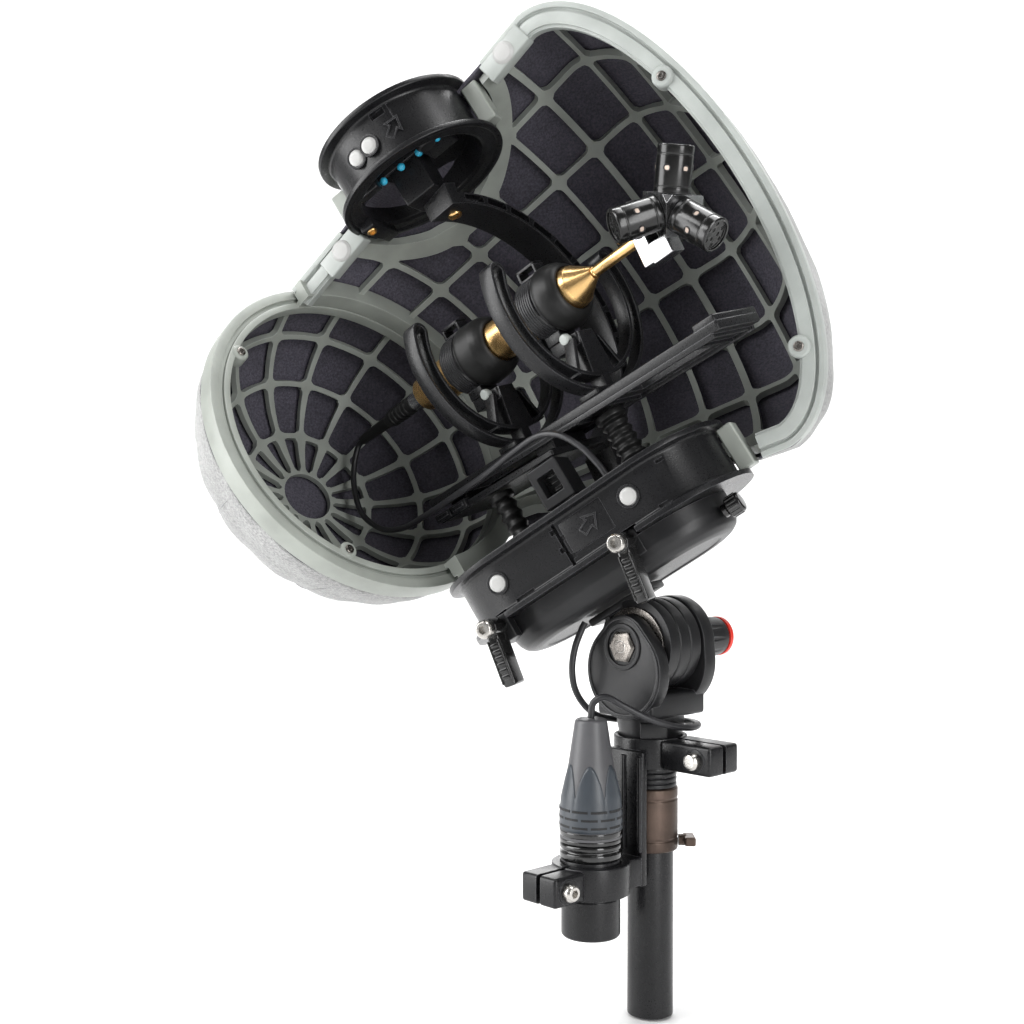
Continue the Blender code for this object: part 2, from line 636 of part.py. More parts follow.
def build_spine():
    """The curved arm on the far side that joins the two hubs."""
    outer = arc(SPINE_OUTER, 88, -58, 18)
    inner = arc(SPINE_INNER, -58, 88, 18)
    foot = [(34.0, -70.0), (34.0, -96.0), (26.0, -96.0), (26.0, -66.0)]
    head = [(-4.0, 66.5), (-4.0, 84.0), (6.0, 84.0)]
    outline = outer + foot + inner + head
    # The outline's X is the microphone frame's Y and its Y is that frame's Z.
    spine = plate("spine", [outline[::-1]], SPINE_BACK, SPINE_FRONT, MIC, turn=(90, 0, 90))
    middle = (SPINE_INNER + SPINE_OUTER) / 2
    for index in range(7):
        angle = 70.0 - index * 18.0
        y, z = middle * math.cos(math.radians(angle)), middle * math.sin(math.radians(angle))
        pocket = box(f"spine_pocket_{index}", (-1.0, -1.6, -8.5), (12.0, 1.6, 8.5), MIC,
                     at=(0, y, z), turn=(angle, 0, 0))
        boolean(spine, pocket)
    boolean(spine, box("spine_top_trim", (-40, -40, BOSS_LOW - GAP), (40, 40, 120), HEAD))
    boolean(spine, box("spine_foot_trim", (-60, 0, -120), (60, 90, BASE_HUB_HIGH + GAP), HEAD))
    finish(spine, "black_plastic")


# ---------------------------------------------------------------- suspension


def build_rail():
    rail = box("mount_rail", (-82.0, -16.0, RAIL_LOW), (112.0, 16.0, RAIL_HIGH), MIC,
               rounding=0.8)
    for index, (low, high) in enumerate(((-72.0, -40.0), (48.0, 92.0))):
        slot = box(f"rail_slot_{index}", (low, -8.0, -60.0), (high, 8.0, -40.0), MIC)
        boolean(rail, slot)
    stop = box("rail_stop", (100.0, -16.0, RAIL_HIGH - 1), (112.0, 16.0, RAIL_HIGH + 2.5), MIC,
               rounding=0.8)
    boolean(rail, stop, "UNION")
    finish(rail, "black_plastic")


def build_chassis():
    plate_low, plate_high = -64.0, -60.5
    chassis = box("chassis_plate", (-76.0, -20.0, plate_low), (8.0, 20.0, plate_high), MIC,
                  rounding=0.8)
    for index, x in enumerate((-66.0, -2.0)):
        pad = box(f"chassis_pad_{index}", (x - 6, -12.0, plate_high - 1),
                  (x + 6, 12.0, RAIL_LOW - GAP), MIC, rounding=0.6)
        boolean(chassis, pad, "UNION")
    finish(chassis, "black_plastic")
    bottom = BASE_HUB_HIGH + GAP
    for name, x, y, top in (("rear", -48.0, 4.0, -62.4), ("middle", -26.0, 8.0, -64.8)):
        waist = [(0, top), (6.5, top), (6.5, top - 6), (4.6, top - 8), (4.6, bottom + 6),
                 (6.0, bottom + 4), (6.0, bottom), (0, bottom)]
        finish(turned(f"isolator_{name}", waist, HEAD, at=(x, y, 0), steps=16), "black_rubber")
    top = -62.9
    post = [(0, top), (7.0, top), (7.0, top - 10), (5.6, top - 12), (5.6, -80.0), (7.5, -83.0),
            (7.5, bottom), (0, bottom)]
    finish(turned("isolator_front", post, HEAD, at=(21.0, -7.0, 0), steps=16), "black_rubber")
    socket = box("chassis_socket", (-22.0, -24.0, -88.0), (-6.0, -6.0, -68.0), HEAD,
                 rounding=0.8)
    boolean(socket, box("socket_recess", (-18.5, -32.0, -83.0), (-9.5, -16.0, -73.0), HEAD))
    finish(socket, "black_plastic")


def lyre_outline():
    """Two springy bows, folded at the tips, between a foot and a clip seat."""
    outer = LYRE_RADIUS
    inner = outer - 7.0
    band = 1.9
    tip = 24.0
    steps = 10
    right = (arc(outer, 270 + 14, 360 + tip, steps)
             + arc((outer - inner + band) / 2, tip, tip + 180, 6,
                   ((outer + inner - band) / 2 * math.cos(math.radians(tip)),
                    (outer + inner - band) / 2 * math.sin(math.radians(tip))))[1:-1]
             + arc(inner - band, 360 + tip, 270 + 12, steps))
    right += [(5.0, LYRE_DROP - 18.8)]
    left = [(-x, y) for x, y in reversed(right)]
    return right + left


def lyre_gap():
    """The space between a bow's outer and inner strips, on one side."""
    outer = LYRE_RADIUS - 1.9
    inner = LYRE_RADIUS - 7.0
    tip = 24.0
    mid = (outer + inner) / 2
    end = (mid * math.cos(math.radians(tip)), mid * math.sin(math.radians(tip)))
    return (arc(outer, 270 + 4, 360 + tip, 10)
            + arc((outer - inner) / 2, tip, tip + 180, 6, end)[1:-1]
            + arc(inner, 360 + tip, 270 + 4, 10))


def build_lyre(name):
    x = LYRE_X[name]
    gap = lyre_gap()
    other_gap = [(-a, b) for a, b in reversed(gap)]
    frame = empty(f"lyre_{name}_frame", MIC, at=(x, 0, -LYRE_DROP), turn=(90, 0, 90))
    lyre = plate(f"lyre_{name}", [lyre_outline()], -4.0, 4.0, frame)
    for index, loop in enumerate((gap, other_gap)):
        boolean(lyre, plate(f"lyre_{name}_gap_{index}", [loop], -6.0, 6.0, frame))
    foot = box(f"lyre_{name}_foot", (-13.0, RAIL_HIGH + GAP + LYRE_DROP, -6.0),
               (13.0, 1.9 - LYRE_RADIUS, 6.0), frame, rounding=0.6)
    boolean(lyre, foot, "UNION")
    seat_span = CLIP_X[name] - x
    seat = box(f"lyre_{name}_seat", (-6.0, -22.0, seat_span - 4.0), (6.0, LYRE_DROP - 18.6, 3.0),
               frame)
    boolean(lyre, seat, "UNION")
    finish(lyre, "black_plastic")


def build_clip(name):
    """The ring that grips the microphone, with a square lug on top."""
    x = CLIP_X[name]
    frame = empty(f"clip_{name}_frame", MIC, at=(x, 0, 0), turn=(90, 0, 90))
    ring = tube_ring(f"clip_{name}", 15.0, MIC_RADIUS + GAP, -6.0, 6.0, frame, steps=20)
    lug = box(f"clip_{name}_lug", (-3.4, 13.5, -6.0), (3.4, 20.5, 6.0), frame, rounding=0.5)
    base = box(f"clip_{name}_base", (-5.6, -18.3, -4.8), (5.6, -12.5, 4.8), frame, rounding=0.5)
    boolean(ring, lug, "UNION")
    boolean(ring, base, "UNION")
    boolean(ring, rod(f"clip_{name}_bore", MIC_RADIUS + GAP, -8, 8, frame, steps=20))
    finish(ring, "black_plastic")


def build_grommets():
    for name, low, high in (("rear", -26.2, -9.0), ("front", 30.8, 43.0)):
        inner = MIC_RADIUS + GAP
        profile = [(inner, high), (11.6, high), (13.6, high - 2.0), (15.4, high - 6.0),
                   (16.0, low + 2.0), (15.6, low), (inner, low)]
        grommet = turned(f"grommet_{name}", profile, MIC, turn=ALONG_X, steps=20, ring=True)
        finish(grommet, "black_rubber")


# ---------------------------------------------------------------- microphone


def build_mic_body():
    body = [(0, 56.5), (3.2, 56.5), (9.4, 46.0), (MIC_RADIUS, 43.4), (MIC_RADIUS, -62.0),
            (8.6, -64.0), (8.6, -68.0), (0, -68.0)]
    finish(turned("mic_body", body, MIC, turn=ALONG_X, steps=20), "brass")
    collar = [(0, -68.3), (4.8, -68.3), (5.0, -77.0), (4.4, -78.2), (0, -78.2)]
    finish(turned("tail_collar", collar, MIC, turn=ALONG_X, steps=16), "chrome")
    boot = [(0, -78.5), (4.6, -78.5), (4.6, -96.0), (3.2, -101.0), (2.6, -124.0), (0, -124.0)]
    finish(turned("tail_boot", boot, MIC, turn=ALONG_X, steps=14), "black_rubber")


def build_stem():
    stem = rod("mic_stem", 2.6, 56.8, STEM_END, MIC, turn=ALONG_X, steps=14)
    finish(stem, "brass")


def capsule_directions():
    """Four directions to the corners of a tetrahedron, two forward and two back."""
    a, b = 1 / math.sqrt(3), math.sqrt(2 / 3)
    roll = Matrix.Rotation(math.radians(-CAPSULE_ROLL), 3, "X")
    names = {"front_up": (a, 0, b), "front_down": (a, 0, -b),
             "rear_near": (-a, -b, 0), "rear_far": (-a, b, 0)}
    return {name: roll @ Vector(d) for name, d in names.items()}


def build_capsule_block(directions):
    """A tetrahedron with blunt corners: each face is the seat of one capsule."""
    face = CAPSULE_FROM - GAP
    corners = [direction * -3.0 * face for direction in directions]
    bm = bmesh.new()
    for corner in corners:
        for other in corners:
            if other is not corner:
                bm.verts.new(corner.lerp(other, 0.14) * MM)
    bmesh.ops.convex_hull(bm, input=bm.verts)
    block = mesh_object("capsule_block", bm, MIC, at=CAPSULE_CENTRE)
    # The stem enters between the two rear capsules; the foot joins its seat to a corner.
    seat = box("stem_seat", (84.5, -4.6, -13.0), (STEM_END + 1.4, 4.6, 4.6), MIC, rounding=0.6)
    foot = box("stem_foot", (STEM_END - 1.0, -4.5, -14.0), (101.0, 4.5, -5.2), MIC, rounding=0.6)
    boolean(block, foot, "UNION")
    boolean(block, seat, "UNION")
    boolean(block, rod("stem_bore", 2.9, 80.0, STEM_END + GAP, MIC, turn=ALONG_X, steps=14))
    finish(block, "chrome")


def build_capsules():
    directions = capsule_directions()
    build_capsule_block(list(directions.values()))
    for name, direction in directions.items():
        frame = empty(f"capsule_{name}_frame", MIC, at=CAPSULE_CENTRE)
        frame.rotation_euler = direction.to_track_quat("Z", "Y").to_euler()
        body = [(0, CAPSULE_TO - 1.2), (6.4, CAPSULE_TO - 1.2), (6.4, CAPSULE_TO),
                (7.2, CAPSULE_TO), (CAPSULE_RADIUS, CAPSULE_TO - 0.6),
                (CAPSULE_RADIUS, CAPSULE_FROM), (0, CAPSULE_FROM)]
        finish(turned(f"capsule_{name}", body, frame, steps=18), "anodised_black")


INNER_CABLE = [
    (-124.4, 0.0, 0.0), (-129.0, -1.0, -2.0), (-133.0, -5.0, -10.0), (-133.5, -11.0, -22.0),
    (-128.0, -18.0, -37.0), (-114.0, -23.0, -50.0), (-96.0, -26.0, -56.5),
    (-76.0, -27.0, -57.5), (-52.0, -27.0, -57.0), (-28.0, -26.5, -56.0), (-8.0, -25.5, -54.0),
    (8.0, -24.5, -53.5), (19.0, -24.0, -58.0), (26.5, -23.0, -67.0), (30.5, -22.0, -77.0),
    (32.0, -21.1, -84.9),
]


def build_inner_cable():
    cable("inner_cable", INNER_CABLE, CABLE_RADIUS, 40, MIC)
    finish(bpy.data.objects["inner_cable"], "black_rubber")


# ---------------------------------------------------------------- windshield


def ring_point(angle, radius=RING_RADIUS, depth=0.0):
    """A point of the slanted rear ring: angle 0 is up, 90 is the far side."""
    slant = math.radians(RING_SLANT)
    a = math.radians(angle)
    back = Vector((-math.cos(slant), math.sin(slant), 0.0))
    across = Vector((math.sin(slant), math.cos(slant), 0.0))
    centre = Vector((RING_X, 0.0, 0.0))
    return (centre + radius * math.cos(a) * Vector((0, 0, 1)) + radius * math.sin(a) * across
            + depth * back)


def shell_point(u, angle, stand_off=0.0):
    """Main shell: u 0 at the rear ring, 1 at the belly, 2 at the nose."""
    a = math.radians(angle)
    radius = BELLY_RADIUS + stand_off
    if u <= 1.0:
        belly = Vector((BELLY_X, radius * math.sin(a), radius * math.cos(a)))
        return ring_point(angle, RING_RADIUS + stand_off).lerp(belly, u)
    rise = math.radians(90.0 * (u - 1.0))
    r = radius * math.cos(rise)
    x = BELLY_X + (NOSE_LENGTH + stand_off) * math.sin(rise)
    return Vector((x, r * math.sin(a), r * math.cos(a)))


def pod_point(w, angle, stand_off=0.0):
    """Rear pod: w 0 at its ring, 1 at its closed end."""
    rise = math.radians(90.0 * w)
    radius = (RING_RADIUS + stand_off) * math.cos(rise) ** 0.7
    depth = (POD_DEPTH + stand_off) * math.sin(rise) ** 1.1
    return ring_point(angle, radius, POD_GAP + depth)


def grid_surface(name, rows, closed, parent, tip=None):
    """A quad surface through rows of points; tip closes the last row with a fan."""
    bm = bmesh.new()
    vertex_rows = [[bm.verts.new(point * MM) for point in row] for row in rows]
    for row, following in zip(vertex_rows, vertex_rows[1:]):
        count = len(row)
        for i in range(count if closed else count - 1):
            j = (i + 1) % count
            bm.faces.new((row[i], row[j], following[j], following[i]))
    if tip is not None:
        point = bm.verts.new(tip * MM)
        last = vertex_rows[-1]
        for i in range(len(last) if closed else len(last) - 1):
            bm.faces.new((last[i], last[(i + 1) % len(last)], point))
    bmesh.ops.recalc_face_normals(bm, faces=bm.faces)
    return mesh_object(name, bm, parent)


def hub_cutters(tag, margin):
    """The room that the two hubs need through the main shell."""
    top = rod(f"top_room_{tag}", TOP_HUB_RADIUS + margin, 70.0, 130.0, HEAD,
              at=(TOP_HUB_X, 0, 0), steps=20)
    outline = stadium(BASE_HUB_HALF_LENGTH + margin, BASE_HUB_HALF_WIDTH + margin, BASE_HUB_X)
    bottom = plate(f"bottom_room_{tag}", [outline], -140.0, -72.0, HEAD)
    return top, bottom


def thicken(thing, thickness, outward):
    solidify = thing.modifiers.new("Solidify", "SOLIDIFY")
    solidify.thickness = thickness * MM
    solidify.offset = outward
    solidify.use_even_offset = True


def wire_ribs(thing):
    wire = thing.modifiers.new("Wireframe", "WIREFRAME")
    wire.thickness = RIB * MM
    wire.offset = 0.0
    wire.use_even_offset = False
    wire.use_boundary = True
    wire.use_replace = True


def build_main_shell():
    stations = [0.0, 0.18, 0.36, 0.54, 0.72, 0.88, 1.12, 1.4, 1.7]
    angles = [2.0 + 22.0 * i for i in range(9)]
    rows = [[shell_point(u, angle) for angle in angles] for u in stations]
    frame = grid_surface("main_shell_frame", rows, False, HEAD)
    wire_ribs(frame)
    for cutter in hub_cutters("frame", 6.8):
        boolean(frame, cutter)
    finish(frame, "grey_plastic")

    stations = [0.0, 0.25, 0.5, 0.75, 1.0, 1.18, 1.36, 1.54, 1.72, 1.88]
    angles = [1.0 + 178.0 * i / 18 for i in range(19)]
    skin = FABRIC_STAND_OFF
    rows = [[shell_point(u, angle, skin) for angle in angles] for u in stations]
    fabric = grid_surface("main_shell_fabric", rows, False, HEAD, shell_point(2.0, 90.0, skin))
    thicken(fabric, FABRIC_THICKNESS, 1.0)
    for cutter in hub_cutters("fabric", 6.8):
        boolean(fabric, cutter)
    finish(fabric, "fabric")


def build_rear_pod():
    stations = [0.0, 0.27, 0.54, 0.8]
    angles = [22.5 * i for i in range(16)]
    rows = [[pod_point(w, angle) for angle in angles] for w in stations]
    frame = grid_surface("rear_pod_frame", rows, True, HEAD)
    wire_ribs(frame)
    finish(frame, "grey_plastic")

    stations = [0.0, 0.15, 0.3, 0.45, 0.6, 0.75, 0.9]
    angles = [360.0 * i / 32 for i in range(32)]
    skin = FABRIC_STAND_OFF
    rows = [[pod_point(w, angle, skin) for angle in angles] for w in stations]
    fabric = grid_surface("rear_pod_fabric", rows, True, HEAD, pod_point(1.0, 0.0, skin))
    thicken(fabric, FABRIC_THICKNESS, 1.0)
    finish(fabric, "fabric")


def build_shell_clips():
    """Light clips on the main shell that grip the hub walls between their flanges."""
    for name, low, high in (("front", 38.5, 47.0), ("rear", -46.0, -37.5)):
        clip = box(f"top_clip_{name}", (low, 1.0, 88.5), (high, 10.0, 110.0), HEAD, rounding=0.8)
        finish(clip, "grey_plastic")
    for name, low, high, y in (("front", 56.0, 64.0, 1.0), ("rear", -88.5, -80.5, 18.0)):
        clip = box(f"bottom_clip_{name}", (low, y, -116.5), (high, y + 9.0, -95.0), HEAD,
                   rounding=0.8)
        finish(clip, "grey_plastic")


def build_everything():
    build_pole()
    build_ferrule()
    build_ferrule_screw()
    build_thread_collar()
    build_fork()
    build_pivot_bolt()
    build_friction_discs()
    build_knob()
    build_yoke_arm()
    build_bracket()
    build_connector()
    build_outer_cable()
    build_base_hub()
    build_base_cover()
    build_levers()
    build_base_knob()
    build_top_hub()
    build_bumper_strip()
    build_spine()
    build_rail()
    build_chassis()
    for name in ("front", "rear"):
        build_lyre(name)
        build_clip(name)
    build_grommets()
    build_mic_body()
    build_stem()
    build_capsules()
    build_inner_cable()
    build_main_shell()
    build_rear_pod()
    build_shell_clips()


build_everything()
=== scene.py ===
"""Looks of the capsule-cluster condenser microphone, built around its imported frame.

Row frame: metres, +Z up, origin at the lower end of the pole section. The numbers in the
constants and calls below are millimetres, as in the part's source; MM turns them into metres.
"""

import math

import bmesh
import bpy
from mathutils import Euler, Matrix, Vector, noise


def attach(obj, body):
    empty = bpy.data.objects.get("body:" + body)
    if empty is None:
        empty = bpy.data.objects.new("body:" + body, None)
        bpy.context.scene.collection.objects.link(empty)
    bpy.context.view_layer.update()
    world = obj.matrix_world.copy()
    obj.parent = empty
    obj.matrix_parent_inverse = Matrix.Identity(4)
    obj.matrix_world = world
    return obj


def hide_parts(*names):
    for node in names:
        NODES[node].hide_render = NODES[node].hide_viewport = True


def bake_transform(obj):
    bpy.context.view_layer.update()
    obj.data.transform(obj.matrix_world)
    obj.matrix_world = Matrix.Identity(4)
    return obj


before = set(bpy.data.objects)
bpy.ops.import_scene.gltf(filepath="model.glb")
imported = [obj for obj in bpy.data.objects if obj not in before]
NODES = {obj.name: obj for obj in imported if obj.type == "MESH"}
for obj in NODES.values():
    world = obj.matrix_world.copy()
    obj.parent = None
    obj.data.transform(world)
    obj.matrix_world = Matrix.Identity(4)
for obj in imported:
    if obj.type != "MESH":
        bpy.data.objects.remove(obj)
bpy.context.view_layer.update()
MM = 0.001
SCENE = bpy.context.scene


# ---------------------------------------------------------------- camera

CAMERA_AT = (0.2047, -0.6130, 0.2368)
CAMERA_TURN = (89.0, 0.0, 24.0)
LENS = 50.4


def angles(values):
    return Euler([math.radians(value) for value in values])


def build_camera():
    data = bpy.data.cameras.new("camera")
    data.lens = LENS
    camera = bpy.data.objects.new("camera", data)
    camera.location = CAMERA_AT
    camera.rotation_euler = angles(CAMERA_TURN)
    SCENE.collection.objects.link(camera)
    SCENE.camera = camera


build_camera()


# ---------------------------------------------------------------- frames of the part


def placed(at=(0, 0, 0), turn=(0, 0, 0), parent=None):
    """A frame at a point, turned by three angles in degrees, in its parent frame."""
    here = Matrix.Translation(Vector(at) * MM) @ angles(turn).to_matrix().to_4x4()
    return parent @ here if parent else here


def spun(parent, degrees, at=(0, 0, 0)):
    """A frame turned about its parent's Z, and then moved."""
    return parent @ Matrix.Rotation(math.radians(degrees), 4, "Z") @ placed(at)


ROW = Matrix.Identity(4)
HEAD = placed((-69.2, 0.0, 311.5), (0, -32.5, 0))
MIC = placed((0.0, 0.0, -2.5), (0, 7.6, -21.0), HEAD)
PIVOT = placed((0.0, 0.0, 166.5), (-90, 0, -22.0))
PLUG_AZIMUTH = -112.5
PLUG_AT = (39.0 * math.cos(math.radians(PLUG_AZIMUTH)),
           39.0 * math.sin(math.radians(PLUG_AZIMUTH)), 0.0)
PLUG = placed(PLUG_AT)
PLUG_EARS = placed(PLUG_AT, (0, 0, PLUG_AZIMUTH))
ARM = placed(turn=(0, 0, PLUG_AZIMUTH))
EARS = placed(turn=(0, 0, -21.0))
ALONG_X = (0, 90, 0)
MIC_AXIS = placed(turn=ALONG_X, parent=MIC)      # a turned piece's height runs forward
NEAR_FACE = (90, 0, 0)                           # Z of the frame points at the viewer

HUB_X, HUB_RADIUS, HUB_LOW, HUB_HIGH = 0.5, 41.5, 84.0, 114.4
BASE_X, BASE_LENGTH, BASE_WIDTH = -15.0, 75.0, 38.0
BASE_LOW, BASE_HIGH = -119.5, -91.5
WALL_INSET = 5.0
COVER_X, COVER_LENGTH, COVER_WIDTH, COVER_BOTTOM = -14.5, 59.5, 31.0, -136.0
LEVER_X = {"rear": -66.0, "front": 6.0}
LEVER_Z = -120.3
GAP = 0.3
STEPS = 72                                       # round pieces


# ---------------------------------------------------------------- materials

SLOTS = {}                                       # a material's slot in the record


def new_material(name, slot):
    material = bpy.data.materials.new(name)
    material.use_nodes = True
    SLOTS[material.name] = slot
    tree = material.node_tree
    place = add_node(tree, "TexCoord").outputs["Object"]
    return material, tree, tree.nodes["Principled BSDF"], place


def feed(tree, node, inputs):
    """Sets a node's inputs: an output socket is linked, anything else is a value."""
    for key, value in inputs.items():
        if isinstance(value, bpy.types.NodeSocket):
            tree.links.new(value, node.inputs[key])
        else:
            node.inputs[key].default_value = value


def add_node(tree, kind, inputs=None, **settings):
    node = tree.nodes.new("ShaderNode" + kind)
    for key, value in settings.items():
        setattr(node, key, value)
    feed(tree, node, inputs or {})
    return node


def shade(colour, factor=1.0):
    return (*[min(1.0, channel * factor) for channel in colour], 1.0)


def two_tone(tree, amount, low, high, start=0.35, stop=0.65):
    ramp = add_node(tree, "ValToRGB", {"Fac": amount})
    for element, position, colour in zip(ramp.color_ramp.elements, (start, stop), (low, high)):
        element.position = position
        element.color = colour
    return ramp.outputs["Color"]


def surface(name, slot, colour, roughness, metallic=0.0, tint=0.18, grain=0.6, bump=0.2,
            worn=None, stretch=(1.0, 1.0, 1.0), coat=0.0, spread=0.08, gleam=0.5):
    """A moulded, turned or brushed surface: broad tint, fine grain and lighter worn edges."""
    material, tree, shader, place = new_material(name, slot)
    broad = add_node(tree, "TexNoise", {"Vector": place, "Scale": 55.0, "Detail": 5.0})
    stretched = add_node(tree, "Mapping", {"Vector": place, "Scale": stretch})
    fine = add_node(tree, "TexNoise", {"Vector": stretched.outputs["Vector"],
                                       "Scale": 1000.0 / grain, "Detail": 3.0}).outputs["Fac"]
    base = two_tone(tree, broad.outputs["Fac"], shade(colour, 1.0 - tint),
                    shade(colour, 1.0 + tint))
    if worn:
        base = worn_edges(tree, base, worn, fine)
    rough = add_node(tree, "MapRange", {
        "Value": fine, "From Min": 0.3, "From Max": 0.7,
        "To Min": max(0.02, roughness - spread), "To Max": roughness + spread})
    relief = add_node(tree, "Bump", {"Height": fine, "Strength": bump,
                                     "Distance": grain * 0.25 * MM})
    feed(tree, shader, {
        "Metallic": metallic, "Specular IOR Level": gleam, "Coat Weight": coat,
        "Coat Roughness": 0.12, "Base Color": base, "Roughness": rough.outputs["Result"],
        "Normal": relief.outputs["Normal"]})
    return material


def worn_edges(tree, base, worn, speckle):
    """Lightens edges, unevenly, where the rounded normal differs from the true one."""
    rounded = add_node(tree, "Bevel", {"Radius": 0.5 * MM}, samples=4)
    true_normal = add_node(tree, "NewGeometry")
    dot = add_node(tree, "VectorMath", {0: rounded.outputs["Normal"],
                                        1: true_normal.outputs["Normal"]},
                   operation="DOT_PRODUCT")
    amount = add_node(tree, "MapRange", {"Value": dot.outputs["Value"], "From Min": 0.985,
                                         "From Max": 0.86, "To Min": 0.0, "To Max": 1.1})
    uneven = add_node(tree, "Math", {0: amount.outputs["Result"], 1: speckle},
                      operation="MULTIPLY")
    mix = add_node(tree, "Mix", {"Factor": uneven.outputs["Value"], "A": base,
                                 "B": shade(worn)}, data_type="RGBA")
    return mix.outputs["Result"]


def cloth(name, colour, fleck, weave, sheen=0.3, bump=0.6):
    """Woven or felted cloth: two crossed thread waves, mottling and a soft nap."""
    material, tree, shader, place = new_material(name, "fabric")
    threads = [add_node(tree, "TexWave", {"Vector": place, "Scale": 1000.0 / weave / 6.28,
                                          "Distortion": 2.0, "Detail": 2.0,
                                          "Detail Scale": 3.0}, bands_direction=direction)
               for direction in ("X", "Z")]
    crossed = add_node(tree, "Math", {i: thread.outputs["Fac"]
                                      for i, thread in enumerate(threads)},
                       operation="MULTIPLY")
    mottle = add_node(tree, "TexNoise", {"Vector": place, "Scale": 1000.0 / (weave * 2.5),
                                         "Detail": 6.0, "Roughness": 0.7}).outputs["Fac"]
    broad = add_node(tree, "TexNoise", {"Vector": place, "Scale": 26.0, "Detail": 3.0})
    flecks = two_tone(tree, mottle, shade(colour), shade(fleck), 0.38, 0.68)
    patches = two_tone(tree, broad.outputs["Fac"], (0.8, 0.8, 0.8, 1.0),
                       (1.15, 1.15, 1.15, 1.0), 0.3, 0.7)
    mix = add_node(tree, "Mix", {"Factor": 1.0, "A": flecks, "B": patches},
                   data_type="RGBA", blend_type="MULTIPLY")
    height = add_node(tree, "Math", {0: crossed.outputs["Value"], 1: mottle}, operation="ADD")
    relief = add_node(tree, "Bump", {"Height": height.outputs["Value"], "Strength": bump,
                                     "Distance": 0.25 * weave * MM})
    feed(tree, shader, {"Roughness": 0.95, "Sheen Weight": sheen, "Sheen Roughness": 0.5,
                        "Base Color": mix.outputs["Result"],
                        "Normal": relief.outputs["Normal"]})
    return material


BLACK = surface("satin_black_plastic", "satin_black", (0.009, 0.009, 0.01), 0.32,
                worn=(0.16, 0.16, 0.17), gleam=0.35)
CASE_BLACK = surface("grained_black_plastic", "satin_black", (0.011, 0.011, 0.012), 0.38,
                     grain=0.35, bump=0.35, worn=(0.16, 0.16, 0.17), gleam=0.38)
GLOSS = surface("gloss_black_plastic", "gloss_black", (0.006, 0.006, 0.006), 0.14, grain=1.5,
                bump=0.05, worn=(0.1, 0.1, 0.1), coat=0.5, spread=0.04)
RUBBER = surface("black_rubber", "black_rubber", (0.008, 0.008, 0.008), 0.44, grain=0.25,
                 bump=0.3, gleam=0.35)
CABLE_JACKET = surface("cable_jacket", "black_rubber", (0.016, 0.016, 0.018), 0.42, grain=0.4,
                       bump=0.15)
GREY = surface("grey_green_plastic", "light_grey", (0.31, 0.33, 0.3), 0.38, tint=0.1,
               grain=0.5, bump=0.15, worn=(0.62, 0.66, 0.63))
PALE = surface("pale_grey_plastic", "light_grey", (0.38, 0.405, 0.385), 0.36, tint=0.08,
               grain=0.5, bump=0.1, worn=(0.78, 0.8, 0.78))
STEEL = surface("machined_steel", "steel", (0.56, 0.54, 0.51), 0.26, 1.0, grain=0.3, bump=0.12)
WORN_STEEL = surface("worn_steel", "steel", (0.2, 0.185, 0.17), 0.3, 1.0, tint=0.5, grain=0.8,
                     bump=0.3, worn=(0.75, 0.74, 0.72))
BRASS = surface("satin_brass", "brass", (0.78, 0.5, 0.21), 0.27, 1.0, tint=0.1, grain=0.4,
                bump=0.1, stretch=(8.0, 1.0, 1.0))
CHROME = surface("polished_metal", "bright_metal", (0.5, 0.5, 0.51), 0.2, 1.0, tint=0.25,
                 grain=2.0, bump=0.06, spread=0.04)
ANODISED = surface("anodised_black", "anodised_black", (0.005, 0.005, 0.005), 0.2, grain=0.8,
                   bump=0.04, worn=(0.25, 0.25, 0.25), spread=0.05)
PEWTER = surface("worn_brown_metal", "worn_brown", (0.085, 0.06, 0.048), 0.42, 0.75, tint=0.35,
                 grain=0.7, bump=0.3, worn=(0.32, 0.24, 0.19))
CYAN = surface("cyan_rubber", "blue", (0.03, 0.36, 0.55), 0.35, bump=0.05)
RED = surface("red_plastic", "red", (0.72, 0.035, 0.02), 0.32, bump=0.05)
WHITE = surface("white_plastic", "light_grey", (0.44, 0.44, 0.43), 0.34, tint=0.06, bump=0.05)
BEIGE = surface("beige_membrane", "brass", (0.62, 0.5, 0.42), 0.5, bump=0.1)
# Near-black: the cans' own black on the capsules' hole rims, and painted shade of the recessed
# grip marks on the connector's boot.
BLACK_AND_RECESS_SHADE = surface("black_and_painted_recess_shade", "anodised_black", (0.006, 0.006, 0.007), 0.6, bump=0.1)
BOOT = surface("boot_rubber", "boot_grey", (0.083, 0.083, 0.088), 0.42, tint=0.12, grain=0.3,
               bump=0.25)
BOOT_LOW = surface("boot_lower_rubber", "boot_grey", (0.042, 0.05, 0.06), 0.38, tint=0.12,
                   grain=0.3, bump=0.25)
INNER_CLOTH = cloth("inner_acoustic_cloth", (0.045, 0.042, 0.056), (0.105, 0.098, 0.125), 0.45,
                    sheen=0.12)
FELT = cloth("outer_felt", (0.2, 0.203, 0.2), (0.42, 0.42, 0.415), 0.55, bump=0.8)
SEAM = cloth("seam_thread", (0.22, 0.22, 0.22), (0.4, 0.4, 0.4), 0.4)


# ---------------------------------------------------------------- mesh tools


def add_mesh(name, mesh, smooth=35.0):
    thing = bpy.data.objects.new(name, mesh)
    SCENE.collection.objects.link(thing)
    return shaded(thing, smooth)


def shaded(thing, smooth):
    """Smooth shading, sharp where faces meet at more than an angle."""
    thing.data.shade_smooth()
    thing.data.set_sharp_from_angle(angle=math.radians(smooth))
    return thing


def from_bmesh(name, bm, matrix=None, smooth=35.0):
    mesh = bpy.data.meshes.new(name)
    if matrix:
        bmesh.ops.recalc_face_normals(bm, faces=bm.faces)
    bm.to_mesh(mesh)
    bm.free()
    if matrix:
        mesh.transform(matrix)
    return add_mesh(name, mesh, smooth)


